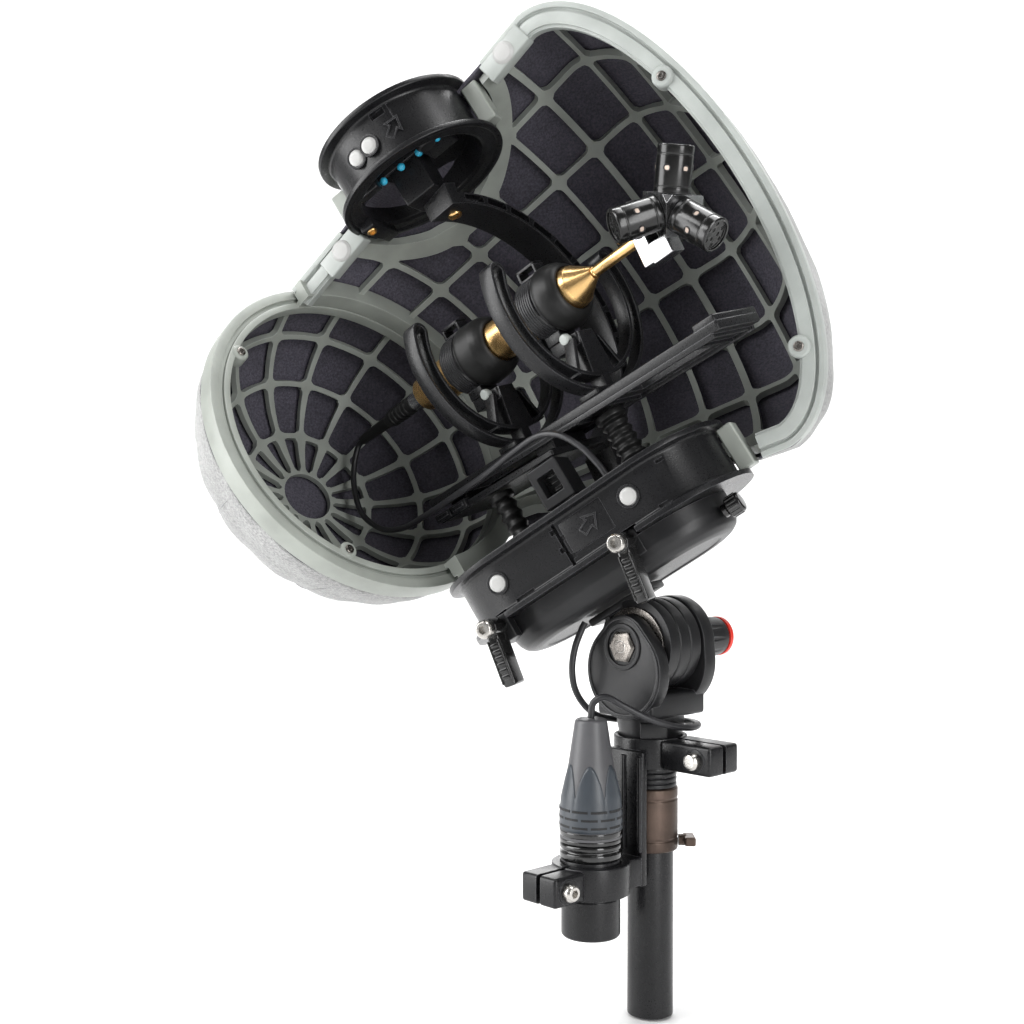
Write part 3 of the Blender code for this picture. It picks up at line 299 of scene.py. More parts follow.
def eased(points, reach, closed=False):
    """Rounds the corners of an outline of (x, y) points."""
    result = []
    for i, point in enumerate(points):
        here = Vector(point)
        back = Vector(points[i - 1]) - here
        ahead = Vector(points[(i + 1) % len(points)]) - here
        is_end = not closed and i in (0, len(points) - 1)
        if is_end or not back.length or not ahead.length or back.angle(ahead) > 2.9:
            result.append(point)
            continue
        start, stop = (here + way.normalized() * min(reach, way.length * 0.45)
                       for way in (back, ahead))
        for t in (0.0, 0.35, 0.65, 1.0):
            result.append(tuple((1 - t) ** 2 * start + 2 * t * (1 - t) * here + t * t * stop))
    return result


def bridge(bm, rows, closed_rows=True, ring=False):
    """Quads between rows of vertices; a row of one vertex is a pole."""
    for upper, lower in zip(rows, rows[1:] + (rows[:1] if ring else [])):
        count = max(len(upper), len(lower))
        for i in range(count if closed_rows else count - 1):
            j = (i + 1) % count
            corners = dict.fromkeys([upper[i % len(upper)], lower[i % len(lower)],
                                     lower[j % len(lower)], upper[j % len(upper)]])
            if len(corners) > 2:
                bm.faces.new(corners)


def in_metres(point):
    return point * MM if isinstance(point, Vector) else [value * MM for value in point]


def loft(name, rows, matrix, closed_rows=True, ring=False, capped=False, smooth=35.0):
    """A mesh through rows of points: closed rows are loops, and ring joins last to first."""
    bm = bmesh.new()
    rows = [[bm.verts.new(in_metres(point)) for point in row] for row in rows]
    bridge(bm, rows, closed_rows, ring)
    if capped:
        bm.faces.new(rows[0])
        bm.faces.new(rows[-1][::-1])
    return from_bmesh(name, bm, matrix, smooth)


def full_turn(steps):
    return [2 * math.pi * k / steps for k in range(steps)]


def turned(name, profile, matrix, steps=STEPS, ring=False, ease=0.3, smooth=35.0):
    """A turned solid from a profile of (radius, height)."""
    rows = [[(radius * math.cos(t), radius * math.sin(t), height)
             for t in full_turn(steps if radius >= 0.001 else 1)]
            for radius, height in eased(profile, ease, ring)]
    return loft(name, rows, matrix, True, ring, smooth=smooth)


def rod(name, radius, low, high, matrix, steps=40, ease=0.2):
    profile = [(0, high), (radius, high), (radius, low), (0, low)]
    return turned(name, profile, matrix, steps, ease=ease)


def collar(name, outer, inner, low, high, matrix, steps=STEPS, ease=0.3):
    profile = [(outer, high), (outer, low), (inner, low), (inner, high)]
    return turned(name, profile, matrix, steps, ring=True, ease=ease)


def block(name, low, high, matrix, ease=0.5, segments=3):
    bm = bmesh.new()
    bmesh.ops.create_cube(bm, size=1.0)
    low, high = Vector(low) * MM, Vector(high) * MM
    bmesh.ops.scale(bm, vec=high - low, verts=bm.verts)
    bmesh.ops.translate(bm, vec=(low + high) / 2, verts=bm.verts)
    if ease:
        bmesh.ops.bevel(bm, geom=bm.edges[:], offset=ease * MM, segments=segments, profile=0.5,
                        affect="EDGES", clamp_overlap=True)
    return from_bmesh(name, bm, matrix, 50.0)


def flat(name, outlines, low, high, matrix, ease=0.4):
    """A flat solid with rounded edges: outlines in its XY plane, the inner ones holes."""
    curve = bpy.data.curves.new(name, "CURVE")
    curve.dimensions = "2D"
    curve.fill_mode = "BOTH"
    curve.extrude = ((high - low) / 2 - ease) * MM
    curve.bevel_depth = ease * MM
    curve.bevel_resolution = 1
    curve.offset = -ease * MM
    for outline in outlines:
        spline = curve.splines.new("POLY")
        spline.points.add(len(outline) - 1)
        for point, (x, y) in zip(spline.points, outline):
            point.co = (x * MM, y * MM, 0.0, 1.0)
        spline.use_cyclic_u = True
    helper = bpy.data.objects.new(name + "_outline", curve)
    SCENE.collection.objects.link(helper)
    mesh = evaluated_mesh(helper)
    bpy.data.objects.remove(helper, do_unlink=True)
    mesh.transform(matrix @ Matrix.Translation((0, 0, (low + high) / 2 * MM)))
    bm = bmesh.new()
    bm.from_mesh(mesh)
    bmesh.ops.remove_doubles(bm, verts=bm.verts, dist=0.001 * MM)
    return from_bmesh(name, bm, smooth=40.0)


def evaluated_mesh(thing):
    bpy.context.view_layer.update()
    graph = bpy.context.evaluated_depsgraph_get()
    return bpy.data.meshes.new_from_object(thing.evaluated_get(graph))


def arc(radius, start, end, steps, centre=(0.0, 0.0)):
    return [(centre[0] + radius * math.cos(a), centre[1] + radius * math.sin(a))
            for a in map(math.radians, spread(start, end, steps))]


def spread(low, high, count):
    return [low + (high - low) * i / count for i in range(count + 1)]


def stadium(half_length, half_width, centre_x=0.0, steps=36):
    straight = half_length - half_width
    right = arc(half_width, -90, 90, steps, (centre_x + straight, 0.0))
    left = arc(half_width, 90, 270, steps, (centre_x - straight, 0.0))
    return right + left


def stadium_loft(name, profile, half_length, half_width, centre_x, matrix, ease=0.4):
    """A solid like a turned one, around a stadium: profile of (inset, height)."""
    rows = [[(x, y, height) for x, y in stadium(half_length - inset, half_width - inset,
                                                centre_x)]
            for inset, height in eased(profile, ease)]
    return loft(name, rows, matrix, capped=True)


def tube(name, points, radius, matrix, sides=12):
    """A round tube along points."""
    rows = []
    normal = None
    for i, point in enumerate(points):
        tangent = (points[min(i + 1, len(points) - 1)] - points[max(i - 1, 0)]).normalized()
        if normal is None:
            normal = tangent.orthogonal().normalized()
        normal = (normal - normal.dot(tangent) * tangent).normalized()
        side = tangent.cross(normal)
        rows.append([point + radius * (math.cos(t) * normal + math.sin(t) * side)
                     for t in full_turn(sides)])
    return loft(name, rows, matrix, capped=True, smooth=60.0)


def joined(name, things):
    """One piece made of several that touch."""
    bm = bmesh.new()
    for thing in things:
        bm.from_mesh(thing.data)
        bpy.data.objects.remove(thing, do_unlink=True)
    return from_bmesh(name, bm)


def combine(thing, others, operation="DIFFERENCE", tangled=False):
    """Cuts or joins solids at once, and keeps the result as a plain mesh."""
    for other in others:
        modifier = thing.modifiers.new("Boolean", "BOOLEAN")
        modifier.operation = operation
        modifier.object = other
        modifier.solver = "EXACT"
        modifier.use_self = tangled or operation == "UNION"
    mesh = evaluated_mesh(thing)
    thing.modifiers.clear()
    thing.data = mesh
    for other in others:
        bpy.data.objects.remove(other, do_unlink=True)
    return shaded(thing, 30.0)


def soften(thing, width, angle=40.0):
    bevel = thing.modifiers.new("Bevel", "BEVEL")
    bevel.width = width * MM
    bevel.segments = 2
    bevel.limit_method = "ANGLE"
    bevel.angle_limit = math.radians(angle)
    bevel.harden_normals = True
    return thing


def paint(thing, *materials):
    thing.data.materials.clear()
    for material in materials:
        thing.data.materials.append(material)
    return thing


def piece(thing, body, material, *replaced, slot=None):
    """Finishes a piece: its material, the body that it rides on and the CAD nodes it shows."""
    if material:
        paint(thing, material)
    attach(thing, body)
    slot or SLOTS[material.name]
    if replaced:
        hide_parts(*replaced)
    return thing


def dress(node_name, material, width=0.35):
    """A CAD node as it is, with its material and softly rounded edges."""
    node = paint(NODES[node_name], material)
    merge = node.modifiers.new("Weld", "WELD")
    merge.merge_threshold = 0.01 * MM
    soften(node, width, 32.0)


def smooth_route(knots, count):
    """Evenly numbered points on a smooth curve through the knots."""
    points = [Vector(knot) for knot in knots]
    points = [2 * points[0] - points[1]] + points + [2 * points[-1] - points[-2]]
    spans = len(points) - 3
    route = []
    for place in spread(0, spans, count - 1):
        span = min(int(place), spans - 1)
        t = place - span
        a, b, c, d = points[span:span + 4]
        route.append(0.5 * (2 * b + (c - a) * t + (2 * a - 5 * b + 4 * c - d) * t * t
                            + (3 * b - a - 3 * c + d) * t ** 3))
    return route


# ---------------------------------------------------------------- cords

CABLE_RADIUS = 1.5
CABLE_POINTS = 160
OUTER_CABLE = [
    (-26.0, -14.2, 176.2), (-27.5, -15.0, 172.8), (-29.8, -17.0, 165.0),
    (-30.8, -18.0, 156.0), (-30.4, -16.0, 147.0), (-28.8, -9.5, 139.0),
    (-25.5, -1.0, 132.8), (-19.5, 9.0, 129.8), (-10.0, 17.0, 129.0), (2.5, 19.5, 129.5),
    (14.0, 15.0, 130.0), (20.5, 5.5, 130.5), (21.0, -6.5, 131.0), (16.0, -17.5, 133.0),
    (8.0, -26.5, 137.0), (-1.0, -32.5, 142.5), (-8.5, -35.3, 146.5), (-13.8, -36.2, 143.8),
    (-14.9, -36.0, 137.3),
]
INNER_CABLE = [
    (-124.4, 0.0, 0.0), (-129.0, -1.0, -2.0), (-133.0, -5.0, -10.0), (-133.5, -11.0, -22.0),
    (-128.0, -18.0, -37.0), (-114.0, -23.0, -50.0), (-96.0, -26.0, -56.5),
    (-76.0, -27.0, -57.5), (-52.0, -27.0, -57.0), (-28.0, -26.5, -56.0), (-8.0, -25.5, -54.0),
    (8.0, -24.5, -53.5), (19.0, -24.0, -58.0), (26.5, -23.0, -67.0), (30.5, -22.0, -77.0),
    (32.0, -21.1, -84.9),
]


def build_cords():
    for name, knots, matrix in (("outer_cable", OUTER_CABLE, ROW),
                                ("inner_cable", INNER_CABLE, MIC)):
        route = smooth_route(knots, CABLE_POINTS)
        cord = paint(tube(name + "_jacket", route, CABLE_RADIUS, matrix, 16), CABLE_JACKET)
        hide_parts(name)
        path = [matrix @ (point * MM) for point in route]
        if name == "outer_cable":
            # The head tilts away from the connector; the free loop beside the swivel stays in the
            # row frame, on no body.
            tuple(path[0])
            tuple(path[CABLE_POINTS // 2])
            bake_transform(cord)
        else:
            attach(cord, "head")
        length = sum((b - a).length for a, b in zip(path, path[1:]))
        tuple(path[0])


build_cords()


# ---------------------------------------------------------------- windshield surfaces

RING_X, RING_RADIUS, RING_SLANT = -87.0, 80.0, 20.0
BELLY_X, BELLY_RADIUS, NOSE_LENGTH = 80.8, 114.5, 49.0
POD_DEPTH, POD_GAP = 62.0, 4.6
SKIN = 3.6                                       # the cloth stands off the ribs by this
ROOM = 6.8                                       # between the hubs and the shell's edge
CLEAR_BAND = 40.0                                # no hub comes nearer to the axis than this
MAIN_STATIONS = [0.0, 0.18, 0.36, 0.54, 0.72, 0.88, 1.12, 1.4, 1.7]
MAIN_ANGLES = [2.0 + 22.0 * i for i in range(9)]
POD_STATIONS = [0.0, 0.27, 0.54, 0.8, 0.95]
POD_ANGLES = [22.5 * i for i in range(17)]

SLANT_SIN, SLANT_COS = math.sin(math.radians(RING_SLANT)), math.cos(math.radians(RING_SLANT))
RING_BACK = Vector((-SLANT_COS, SLANT_SIN, 0.0))
RING_ACROSS = Vector((SLANT_SIN, SLANT_COS, 0.0))


def ring_point(angle, radius=RING_RADIUS, depth=0.0):
    """A point of the slanted rear ring: angle 0 is up, 90 is the far side."""
    a = math.radians(angle)
    return (Vector((RING_X, 0.0, radius * math.cos(a))) + radius * math.sin(a) * RING_ACROSS
            + depth * RING_BACK)


def shell_point(u, angle, stand_off=0.0):
    """Main shell: u 0 at the rear ring, 1 at the belly, 2 at the nose."""
    a = math.radians(angle)
    rise = math.radians(90.0 * max(0.0, u - 1.0))
    radius = (BELLY_RADIUS + stand_off) * math.cos(rise)
    x = BELLY_X + (NOSE_LENGTH + stand_off) * math.sin(rise)
    point = Vector((x, radius * math.sin(a), radius * math.cos(a)))
    if u <= 1.0:
        return ring_point(angle, RING_RADIUS + stand_off).lerp(point, u)
    return point


def pod_point(w, angle, stand_off=0.0):
    """Rear pod: w 0 at its ring, 1 at its closed end."""
    rise = math.radians(90.0 * w)
    radius = (RING_RADIUS + stand_off) * max(0.0, math.cos(rise)) ** 0.7
    depth = (POD_DEPTH + stand_off) * math.sin(rise) ** 1.1
    return ring_point(angle, radius, POD_GAP + depth)


def near_hubs(point, margin):
    """True where a shell point lies within the margin round either hub's room."""
    if point.z > CLEAR_BAND:
        return math.hypot(point.x - HUB_X, point.y) < HUB_RADIUS + ROOM + margin
    if point.z < -CLEAR_BAND:
        over = max(0.0, abs(point.x - BASE_X) - (BASE_LENGTH - BASE_WIDTH))
        return math.hypot(over, point.y) < BASE_WIDTH + ROOM + margin
    return False


def hub_rooms():
    return [rod("top_room", HUB_RADIUS + ROOM, 60.0, 140.0, placed((HUB_X, 0, 0), parent=HEAD),
                STEPS, 0),
            stadium_loft("bottom_room", [(0, -60.0), (0, -150.0)], BASE_LENGTH + ROOM,
                         BASE_WIDTH + ROOM, BASE_X, HEAD, 0)]


def side_marks(length, half_rib, corner):
    """Places along one side of a cell: the corner's three, the middle's, and three again."""
    edge = min(0.42, (half_rib + corner) / length)
    lead = min(0.3, half_rib / length)
    middle = [edge + (1 - 2 * edge) * k / 5 for k in range(1, 5)]
    return [0.0, (lead + edge) / 2, edge] + middle + [1 - edge, 1 - (lead + edge) / 2, 1.0], lead


FILLET, FILLET_END = 0.29, 0.08                  # how far a rounded corner cuts in


def window(place, u0, u1, a0, a1, half_rib, corner):
    """A cell's outer loop, and the loop of its window with round corners, as (u, angle)."""
    corners = [(u0, a0), (u0, a1), (u1, a1), (u1, a0)]
    sides = []
    for start, stop in zip(corners, corners[1:] + corners[:1]):
        length = max(1.0, (place(*stop) - place(*start)).length)
        sides.append((Vector(start), Vector(stop) - Vector(start),
                      *side_marks(length, half_rib, corner)))
    outer, inner = [], []
    for k, (start, step, marks, lead) in enumerate(sides):
        before, after = sides[k - 1], sides[(k + 1) % 4]
        depth = (before[3] + after[3]) / 2
        round_depth = (before[2][2] + after[2][2]) / 2 - depth
        for i, mark in enumerate(marks[:-1]):
            outer.append(start + step * mark)
            bend = {0: FILLET, 1: FILLET_END, len(marks) - 2: FILLET_END}.get(i, 0.0)
            along = lead + FILLET * (marks[2] - lead) if i == 0 else mark
            along = min(max(along, lead), 1 - lead)
            inner.append(start + step * along + after[1] * (depth + bend * round_depth))
    return outer, inner


def lattice(name, place, stations, angles, half_rib, corner, margin=None):
    """A moulded lattice: each cell is a frame round a window with filleted corners."""
    bm = bmesh.new()
    made = {}

    def vertex(at):
        return bm.verts.new(place(*at) * MM)

    def shared(at):
        key = (round(at[0], 4), round(at[1] % 360.0, 3))
        if key not in made:
            made[key] = vertex(at)
        return made[key]

    for u0, u1 in zip(stations, stations[1:]):
        for a0, a1 in zip(angles, angles[1:]):
            outer, inner = window(place, u0, u1, a0, a1, half_rib, corner)
            clear = [at for at in inner if margin is None or not near_hubs(place(*at), margin)]
            outside = [shared(at) for at in outer]
            if len(clear) < 7:
                centre = ((u0 + u1) / 2, (a0 + a1) / 2)
                middle = [vertex(centre)]
                half = [vertex((at + Vector(centre)) / 2) for at in outer]
                bridge(bm, [outside, half, middle])
                continue
            if len(clear) < len(inner):
                heart = sum(clear, Vector((0, 0))) / len(clear)
                inner = [pull_clear(place, at, heart, margin) for at in inner]
            bridge(bm, [outside, [vertex(at) for at in inner]])
    bmesh.ops.remove_doubles(bm, verts=bm.verts, dist=0.02 * MM)
    return from_bmesh(name, bm, HEAD)


def pull_clear(place, at, heart, margin):
    """Moves a window's point towards the window's heart until it is clear of the collar."""
    if not near_hubs(place(*at), margin):
        return at
    low, high = 0.0, 1.0
    for _ in range(12):
        middle = (low + high) / 2
        if near_hubs(place(*at.lerp(heart, middle)), margin):
            low = middle
        else:
            high = middle
    return at.lerp(heart, high)


def thicken(thing, thickness, offset, inner_material=0):
    solid = thing.modifiers.new("Solidify", "SOLIDIFY")
    solid.thickness = thickness * MM
    solid.offset = offset
    solid.use_even_offset = True
    solid.material_offset = inner_material
    solid.material_offset_rim = inner_material
    return thing


def puffed(surface_point, stations, angles):
    """Cloth over the ribs: it stands out a little between them, with faint creases."""
    def place(u, angle):
        across = next(((u - low) / (high - low) for low, high in zip(stations, stations[1:])
                       if low <= u <= high), 0.0)
        along = ((angle - angles[0]) / (angles[1] - angles[0])) % 1.0
        puff = 1.1 * math.sin(math.pi * across) * math.sin(math.pi * along)
        point = surface_point(u, angle, SKIN + puff)
        crease = 0.35 * noise.noise(point * 0.06) + 0.2 * noise.noise(point * 0.2)
        return surface_point(u, angle, SKIN + puff + crease)
    return place


def facing_out(thing):
    """Faces point away from the head's axis, so that Solidify grows the outer side."""
    bm = bmesh.new()
    bm.from_mesh(thing.data)
    axis_point = HEAD @ (Vector((40.0, 0.0, 0.0)) * MM)
    face = max(bm.faces, key=lambda f: f.calc_area())
    if face.normal.dot(face.calc_center_median() - axis_point) < 0:
        bmesh.ops.reverse_faces(bm, faces=bm.faces)
    bm.to_mesh(thing.data)
    bm.free()


def build_cover(body, place, us, angles, closed, tip):
    """The stretched cover: pale felt outside, dark cloth inside."""
    rows = [[place(u, angle) for angle in angles] for u in us] + [[tip]]
    cover = loft(body + "_cover", rows, HEAD, closed, smooth=80.0)
    facing_out(cover)
    thicken(cover, 1.2, 1.0, 1)
    paint(cover, FELT, INNER_CLOTH)
    if body == "main_shell":
        combine(cover, hub_rooms())
        shaded(cover, 60.0)
    return piece(cover, body, None, body + "_fabric", slot=SLOTS[FELT.name])


def build_main_shell():
    ribs = lattice("main_shell_lattice", shell_point, MAIN_STATIONS, MAIN_ANGLES, 1.5, 4.2, 9.0)
    combine(thicken(ribs, 3.6, 0.0), hub_rooms(), tangled=True)
    piece(soften(ribs, 1.1), "main_shell", GREY, "main_shell_frame")
    return build_cover("main_shell", puffed(shell_point, MAIN_STATIONS, MAIN_ANGLES),
                       spread(0.0, 1.0, 50) + spread(1.0, 1.96, 36)[1:],
                       spread(0.5, 179.5, 108), False, shell_point(2.0, 90.0, SKIN))


def build_pod():
    ribs = lattice("rear_pod_lattice", pod_point, POD_STATIONS, POD_ANGLES, 1.4, 3.6)
    piece(soften(thicken(ribs, 3.4, 0.0), 1.1), "rear_pod", GREY, "rear_pod_frame")
    cover = build_cover("rear_pod", puffed(pod_point, POD_STATIONS, POD_ANGLES),
                        spread(0.1, 0.96, 46), spread(0.0, 360.0, 120)[:-1], True,
                        pod_point(1.0, 0.0, SKIN))
    for index, angle in enumerate((218.0, 262.0, 306.0)):
        route = [pod_point(w, angle + 10.0 * w, SKIN + 1.4) for w in spread(0.14, 0.9, 30)]
        piece(tube(f"pod_seam_{index}", route, 0.5, HEAD, 8), "rear_pod", SEAM)
    return cover


def swept_band(name, path, outward, profile, closed=False):
    """A band along a path; profile points are (outward, across) from each path point."""
    rows = [[point + n * out + y * across for n, y in eased(profile, 0.35, True)]
            for point, (out, across) in zip(path, outward)]
    return loft(name, rows, HEAD, True, closed, not closed)


RIM_PROFILE = [
    (-6.5, 6.0), (-6.5, 1.6), (-5.2, 1.6), (-5.2, 0.0), (0.6, 0.0), (0.6, 1.5), (2.3, 1.5),
    (2.3, -0.6), (4.9, -0.6), (4.9, 6.0),
]
RING_PROFILE = [
    (-4.5, 6.5), (-4.5, -3.0), (-2.0, -3.0), (-2.0, -1.2), (3.6, -1.2), (3.6, 1.2), (5.2, 1.2),
    (5.2, 6.5),
]
POD_RING_PROFILE = [
    (-5.0, 4.0), (-5.0, -1.6), (-1.8, -1.6), (-1.8, 0.4), (0.4, 0.4), (0.4, -1.6), (5.2, -1.6),
    (5.2, 8.5), (2.6, 8.5), (2.6, 4.0),
]


def rim_section(us, angle):
    """Path along the shell's open edge, with the outward direction at each point."""
    path = [shell_point(u, angle) for u in us]
    for point in path:
        point.y = 0.0
    frames = []
    for i, point in enumerate(path):
        tangent = path[min(i + 1, len(path) - 1)] - path[max(i - 1, 0)]
        out = Vector((-tangent.z, 0.0, tangent.x)).normalized()
        if out.z * point.z + out.x * max(0.0, point.x - BELLY_X) < 0:
            out.negate()
        frames.append((out, Vector((0, 1, 0))))
    return path, frames


def build_ring(name, body, profile, angles, depth, side, closed=False):
    path = [ring_point(angle, depth=depth) for angle in angles]
    frames = [(ring_point(a, 1.0) - ring_point(a, 0.0), side) for a in angles]
    piece(swept_band(name, path, frames, profile, closed), body, GREY)


def build_rims():
    top, top_frames = rim_section(spread(0.845, 1.0, 6) + spread(1.0, 1.98, 44)[1:], 0.0)
    low, low_frames = rim_section(spread(1.98, 1.0, 44) + spread(1.0, 0.93, 4)[1:], 180.0)
    rims = [swept_band("front_rim", top + low, top_frames + low_frames, RIM_PROFILE),
            swept_band("rear_rim", *rim_section(spread(0.0, 0.225, 8), 0.0), RIM_PROFILE)]
    piece(joined("main_shell_rim", rims), "main_shell", PALE)
    build_rim_details()
    build_ring("main_shell_ring", "main_shell", RING_PROFILE, spread(0.0, 180.0, 90), 0.0,
               -RING_BACK)
    build_ring("rear_pod_ring", "rear_pod", POD_RING_PROFILE, spread(0.0, 360.0, 160)[:-1],
               POD_GAP, RING_BACK, True)


def near_frame(x, y, z, spin=0.0):
    """A frame of the head's whose Z points at the viewer's side."""
    return spun(placed((x, y, z), NEAR_FACE, HEAD), spin)


def raised(matrix, height):
    return placed((0, 0, height), parent=matrix)


def screw_head(name, matrix, radius, height):
    """A round screw head with a hexagonal socket, standing on its frame's XY plane."""
    socket, floor = radius * 0.5, height * 0.45
    head = turned(name, [(0, height), (radius * 0.8, height), (radius, height * 0.7),
                         (radius, 0), (0, 0)], matrix, 40)
    well = turned(name + "_well", [(0, height + 1), (socket, height + 1), (socket, floor),
                                   (0, floor)], matrix, 6, ease=0)
    return combine(head, [well])


def cap_screw(name, body, at, low, high, head_at, radius):
    """A steel screw: a shank from low to high, and a socket head."""
    shank = rod(name + "_shank", 2.0, low, high, at, 28)
    head = screw_head(name + "_head", raised(at, head_at), radius, 4.2)
    piece(joined(name + "_cap_screw", [shank, head]), body, STEEL, name + "_screw")


def button(name, at, lip, top, shoulder, radius, drop, foot=None, steps=40, ease=0.3):
    """A round button: a flat top, a sloped shoulder and a straight side."""
    return turned(name, [(0, lip), (top, lip), (radius, shoulder), (foot or radius, -drop),
                         (0, -drop)], at, steps, ease=ease)


def build_rim_details():
    """Bosses and screws on the rim, and the light plates with round bosses at its ends."""
    details = []
    for index, (x, z) in enumerate(((120.6, 50.9), (106.9, -85.3))):
        at = near_frame(x, -0.4, z)
        details.append(button(f"rim_boss_{index}", at, 1.6, 4.2, 0.6, 5.0, 5.0, 5.2))
        screw = screw_head(f"rim_screw_{index}", raised(at, 1.2), 2.3, 1.1)
        piece(screw, "main_shell", WORN_STEEL)
    slope = math.degrees(math.atan(0.212))
    for index, (x, z) in enumerate(((-54.0, 83.5), (66.0, 109.5))):
        details.append(block(f"rim_plate_{index}", (-13.0, -1.0, -5.5), (13.0, 6.0, 5.0),
                             placed((x, 0.0, z), (0, -slope, 0), HEAD), 0.8))
        magnet = button(f"magnet_boss_{index}", near_frame(x, -1.0, z), 1.2, 4.0, 0.2, 5.4, 3.0,
                        steps=48)
        piece(magnet, "main_shell", WHITE)
    piece(joined("rim_bosses", details), "main_shell", PALE)
    turn = (HEAD.to_3x3() @ -RING_BACK).to_track_quat("Z", "Y").to_matrix().to_4x4()
    for index, angle in enumerate((318.0, 222.0)):
        at = ring_point(angle, 73.6, POD_GAP - 1.4)
        matrix = Matrix.Translation(HEAD @ (at * MM)) @ turn
        piece(button(f"pod_boss_{index}", matrix, 1.0, 3.4, 0.2, 4.2, 6.0), "rear_pod", GREY)
        screw = screw_head(f"pod_screw_{index}", raised(matrix, 0.8), 2.2, 1.0)
        piece(screw, "rear_pod", WORN_STEEL)


MAIN_COVER = build_main_shell()
POD_COVER = build_pod()
build_rims()


# ---------------------------------------------------------------- microphone


def build_microphone():
    body = [(0, 46.0), (9.4, 46.0), (10.0, 43.4), (10.0, 5.0), (9.75, 4.6), (9.75, 3.4),
            (10.0, 3.0), (10.0, -44.0), (9.8, -44.4), (9.8, -45.6), (10.0, -46.0),
            (10.0, -62.0), (8.6, -64.0), (8.6, -68.0), (0, -68.0)]
    shape = turned("body_tube", body, MIC_AXIS)
    cone = turned("body_cone", [(0, 56.5), (3.2, 56.5), (3.6, 55.6), (9.35, 45.9), (0, 45.9)],
                  MIC_AXIS, 14, ease=0.15, smooth=10.0)
    piece(joined("microphone_body", [shape, cone]), "head", BRASS, "mic_body")
    stem = turned("microphone_stem", [(0, 90.5), (2.6, 90.5), (2.6, 58.6), (2.3, 58.4),
                                      (2.3, 57.8), (2.6, 57.6), (2.6, 56.8), (0, 56.8)],
                  MIC_AXIS, 32, ease=0.1)
    piece(stem, "head", BRASS, "mic_stem")
    ring = turned("tail_ring", [(0, -68.3), (4.8, -68.3), (5.0, -70.0), (4.7, -70.3),
                                (4.7, -71.0), (5.0, -71.3), (5.0, -77.0), (4.4, -78.2),
                                (0, -78.2)], MIC_AXIS, 48)
    piece(ring, "head", CHROME, "tail_collar")
    grip = [(0, -78.5), (4.6, -78.5)]
    for index in range(5):
        back = -81.0 - 3.0 * index
        grip += [(4.6, back), (4.1, back - 0.4), (4.1, back - 1.2), (4.6, back - 1.6)]
    grip += [(4.6, -96.0), (3.2, -101.0), (2.6, -124.0), (0, -124.0)]
    piece(turned("tail_sleeve", grip, MIC_AXIS, 40, ease=0.15), "head", RUBBER, "tail_boot")


CAPSULE_CENTRE = Vector((105.7, 0.0, 3.1))
CAPSULE_RADIUS, CAPSULE_FROM, CAPSULE_TO = 7.7, 6.4, 26.2


def capsule_frames():
    a, b = 1 / math.sqrt(3), math.sqrt(2 / 3)
    roll = Matrix.Rotation(math.radians(-4.0), 3, "X")
    for name, direction in {"front_up": (a, 0, b), "front_down": (a, 0, -b),
                            "rear_near": (-a, -b, 0), "rear_far": (-a, b, 0)}.items():
        turn = (roll @ Vector(direction)).to_track_quat("Z", "Y").to_matrix().to_4x4()
        yield name, MIC @ Matrix.Translation(CAPSULE_CENTRE * MM) @ turn


def build_capsules():
    wide = CAPSULE_RADIUS
    end = CAPSULE_TO - 1.2
    profile = [(0, end), (6.4, end), (6.4, CAPSULE_TO), (7.2, CAPSULE_TO),
               (wide, CAPSULE_TO - 0.6), (wide, 22.6), (7.5, 22.4), (7.5, 21.9), (wide, 21.7),
               (wide, 9.4), (7.5, 9.2), (7.5, 8.8), (wide, 8.6), (wide, CAPSULE_FROM),
               (0, CAPSULE_FROM)]
    for name, matrix in capsule_frames():
        can = turned(f"capsule_{name}_can", profile, matrix, ease=0.15)
        slots = [block("grille_slot", (reach - 0.9, -1.0, end - 0.9),
                       (reach + 0.9, 1.0, end + 0.6),
                       spun(matrix, 360.0 * k / count + first), 0.4, 2)
                 for reach, count, first in ((2.2, 3, 0.0), (4.7, 6, 30.0)) for k in range(count)]
        combine(can, [joined("grille_slots", slots)])
        piece(can, "head", ANODISED, f"capsule_{name}")
        # Pale membranes in dark chamfered holes round the side.
        holes = [spun(matrix, 60.0 * k + 8.0) @ placed((wide - 0.35, 0, 16.6), ALONG_X)
                 for k in range(6)]
        rims = [turned("hole_rim", [(1.6, 0.62), (1.6, -0.6), (1.15, -0.6), (1.15, 0.55)], at, 28,
                       ring=True, ease=0.1) for at in holes]
        membranes = [turned("membrane", [(0, 0.45), (1.25, 0.3), (1.25, -0.6), (0, -0.6)], at, 28,
                            ease=0.05) for at in holes]
        piece(joined(f"capsule_{name}_hole_rims", rims), "head", BLACK_AND_RECESS_SHADE)
        piece(joined(f"capsule_{name}_membranes", membranes), "head", BEIGE)
    dress("capsule_block", CHROME, 1.3)


LYRE_RADIUS, LYRE_INNER, LYRE_BAND, LYRE_TIP = 46.0, 39.0, 1.9, 24.0


def lyre_bow(outer, inner, first, last, end_steps, steps=44):
    """Half of a bow: out to the tip along one arc, round the tip, and back along the other."""
    middle = (outer + inner) / 2
    tip = math.radians(LYRE_TIP)
    end = (middle * math.cos(tip), middle * math.sin(tip))
    return (arc(outer, first, 360 + LYRE_TIP, steps)
            + arc((outer - inner) / 2, LYRE_TIP, LYRE_TIP + 180, end_steps, end)[1:-1]
            + arc(inner, 360 + LYRE_TIP, last, steps))


def mirrored(outline):
    return [(-x, y) for x, y in outline]


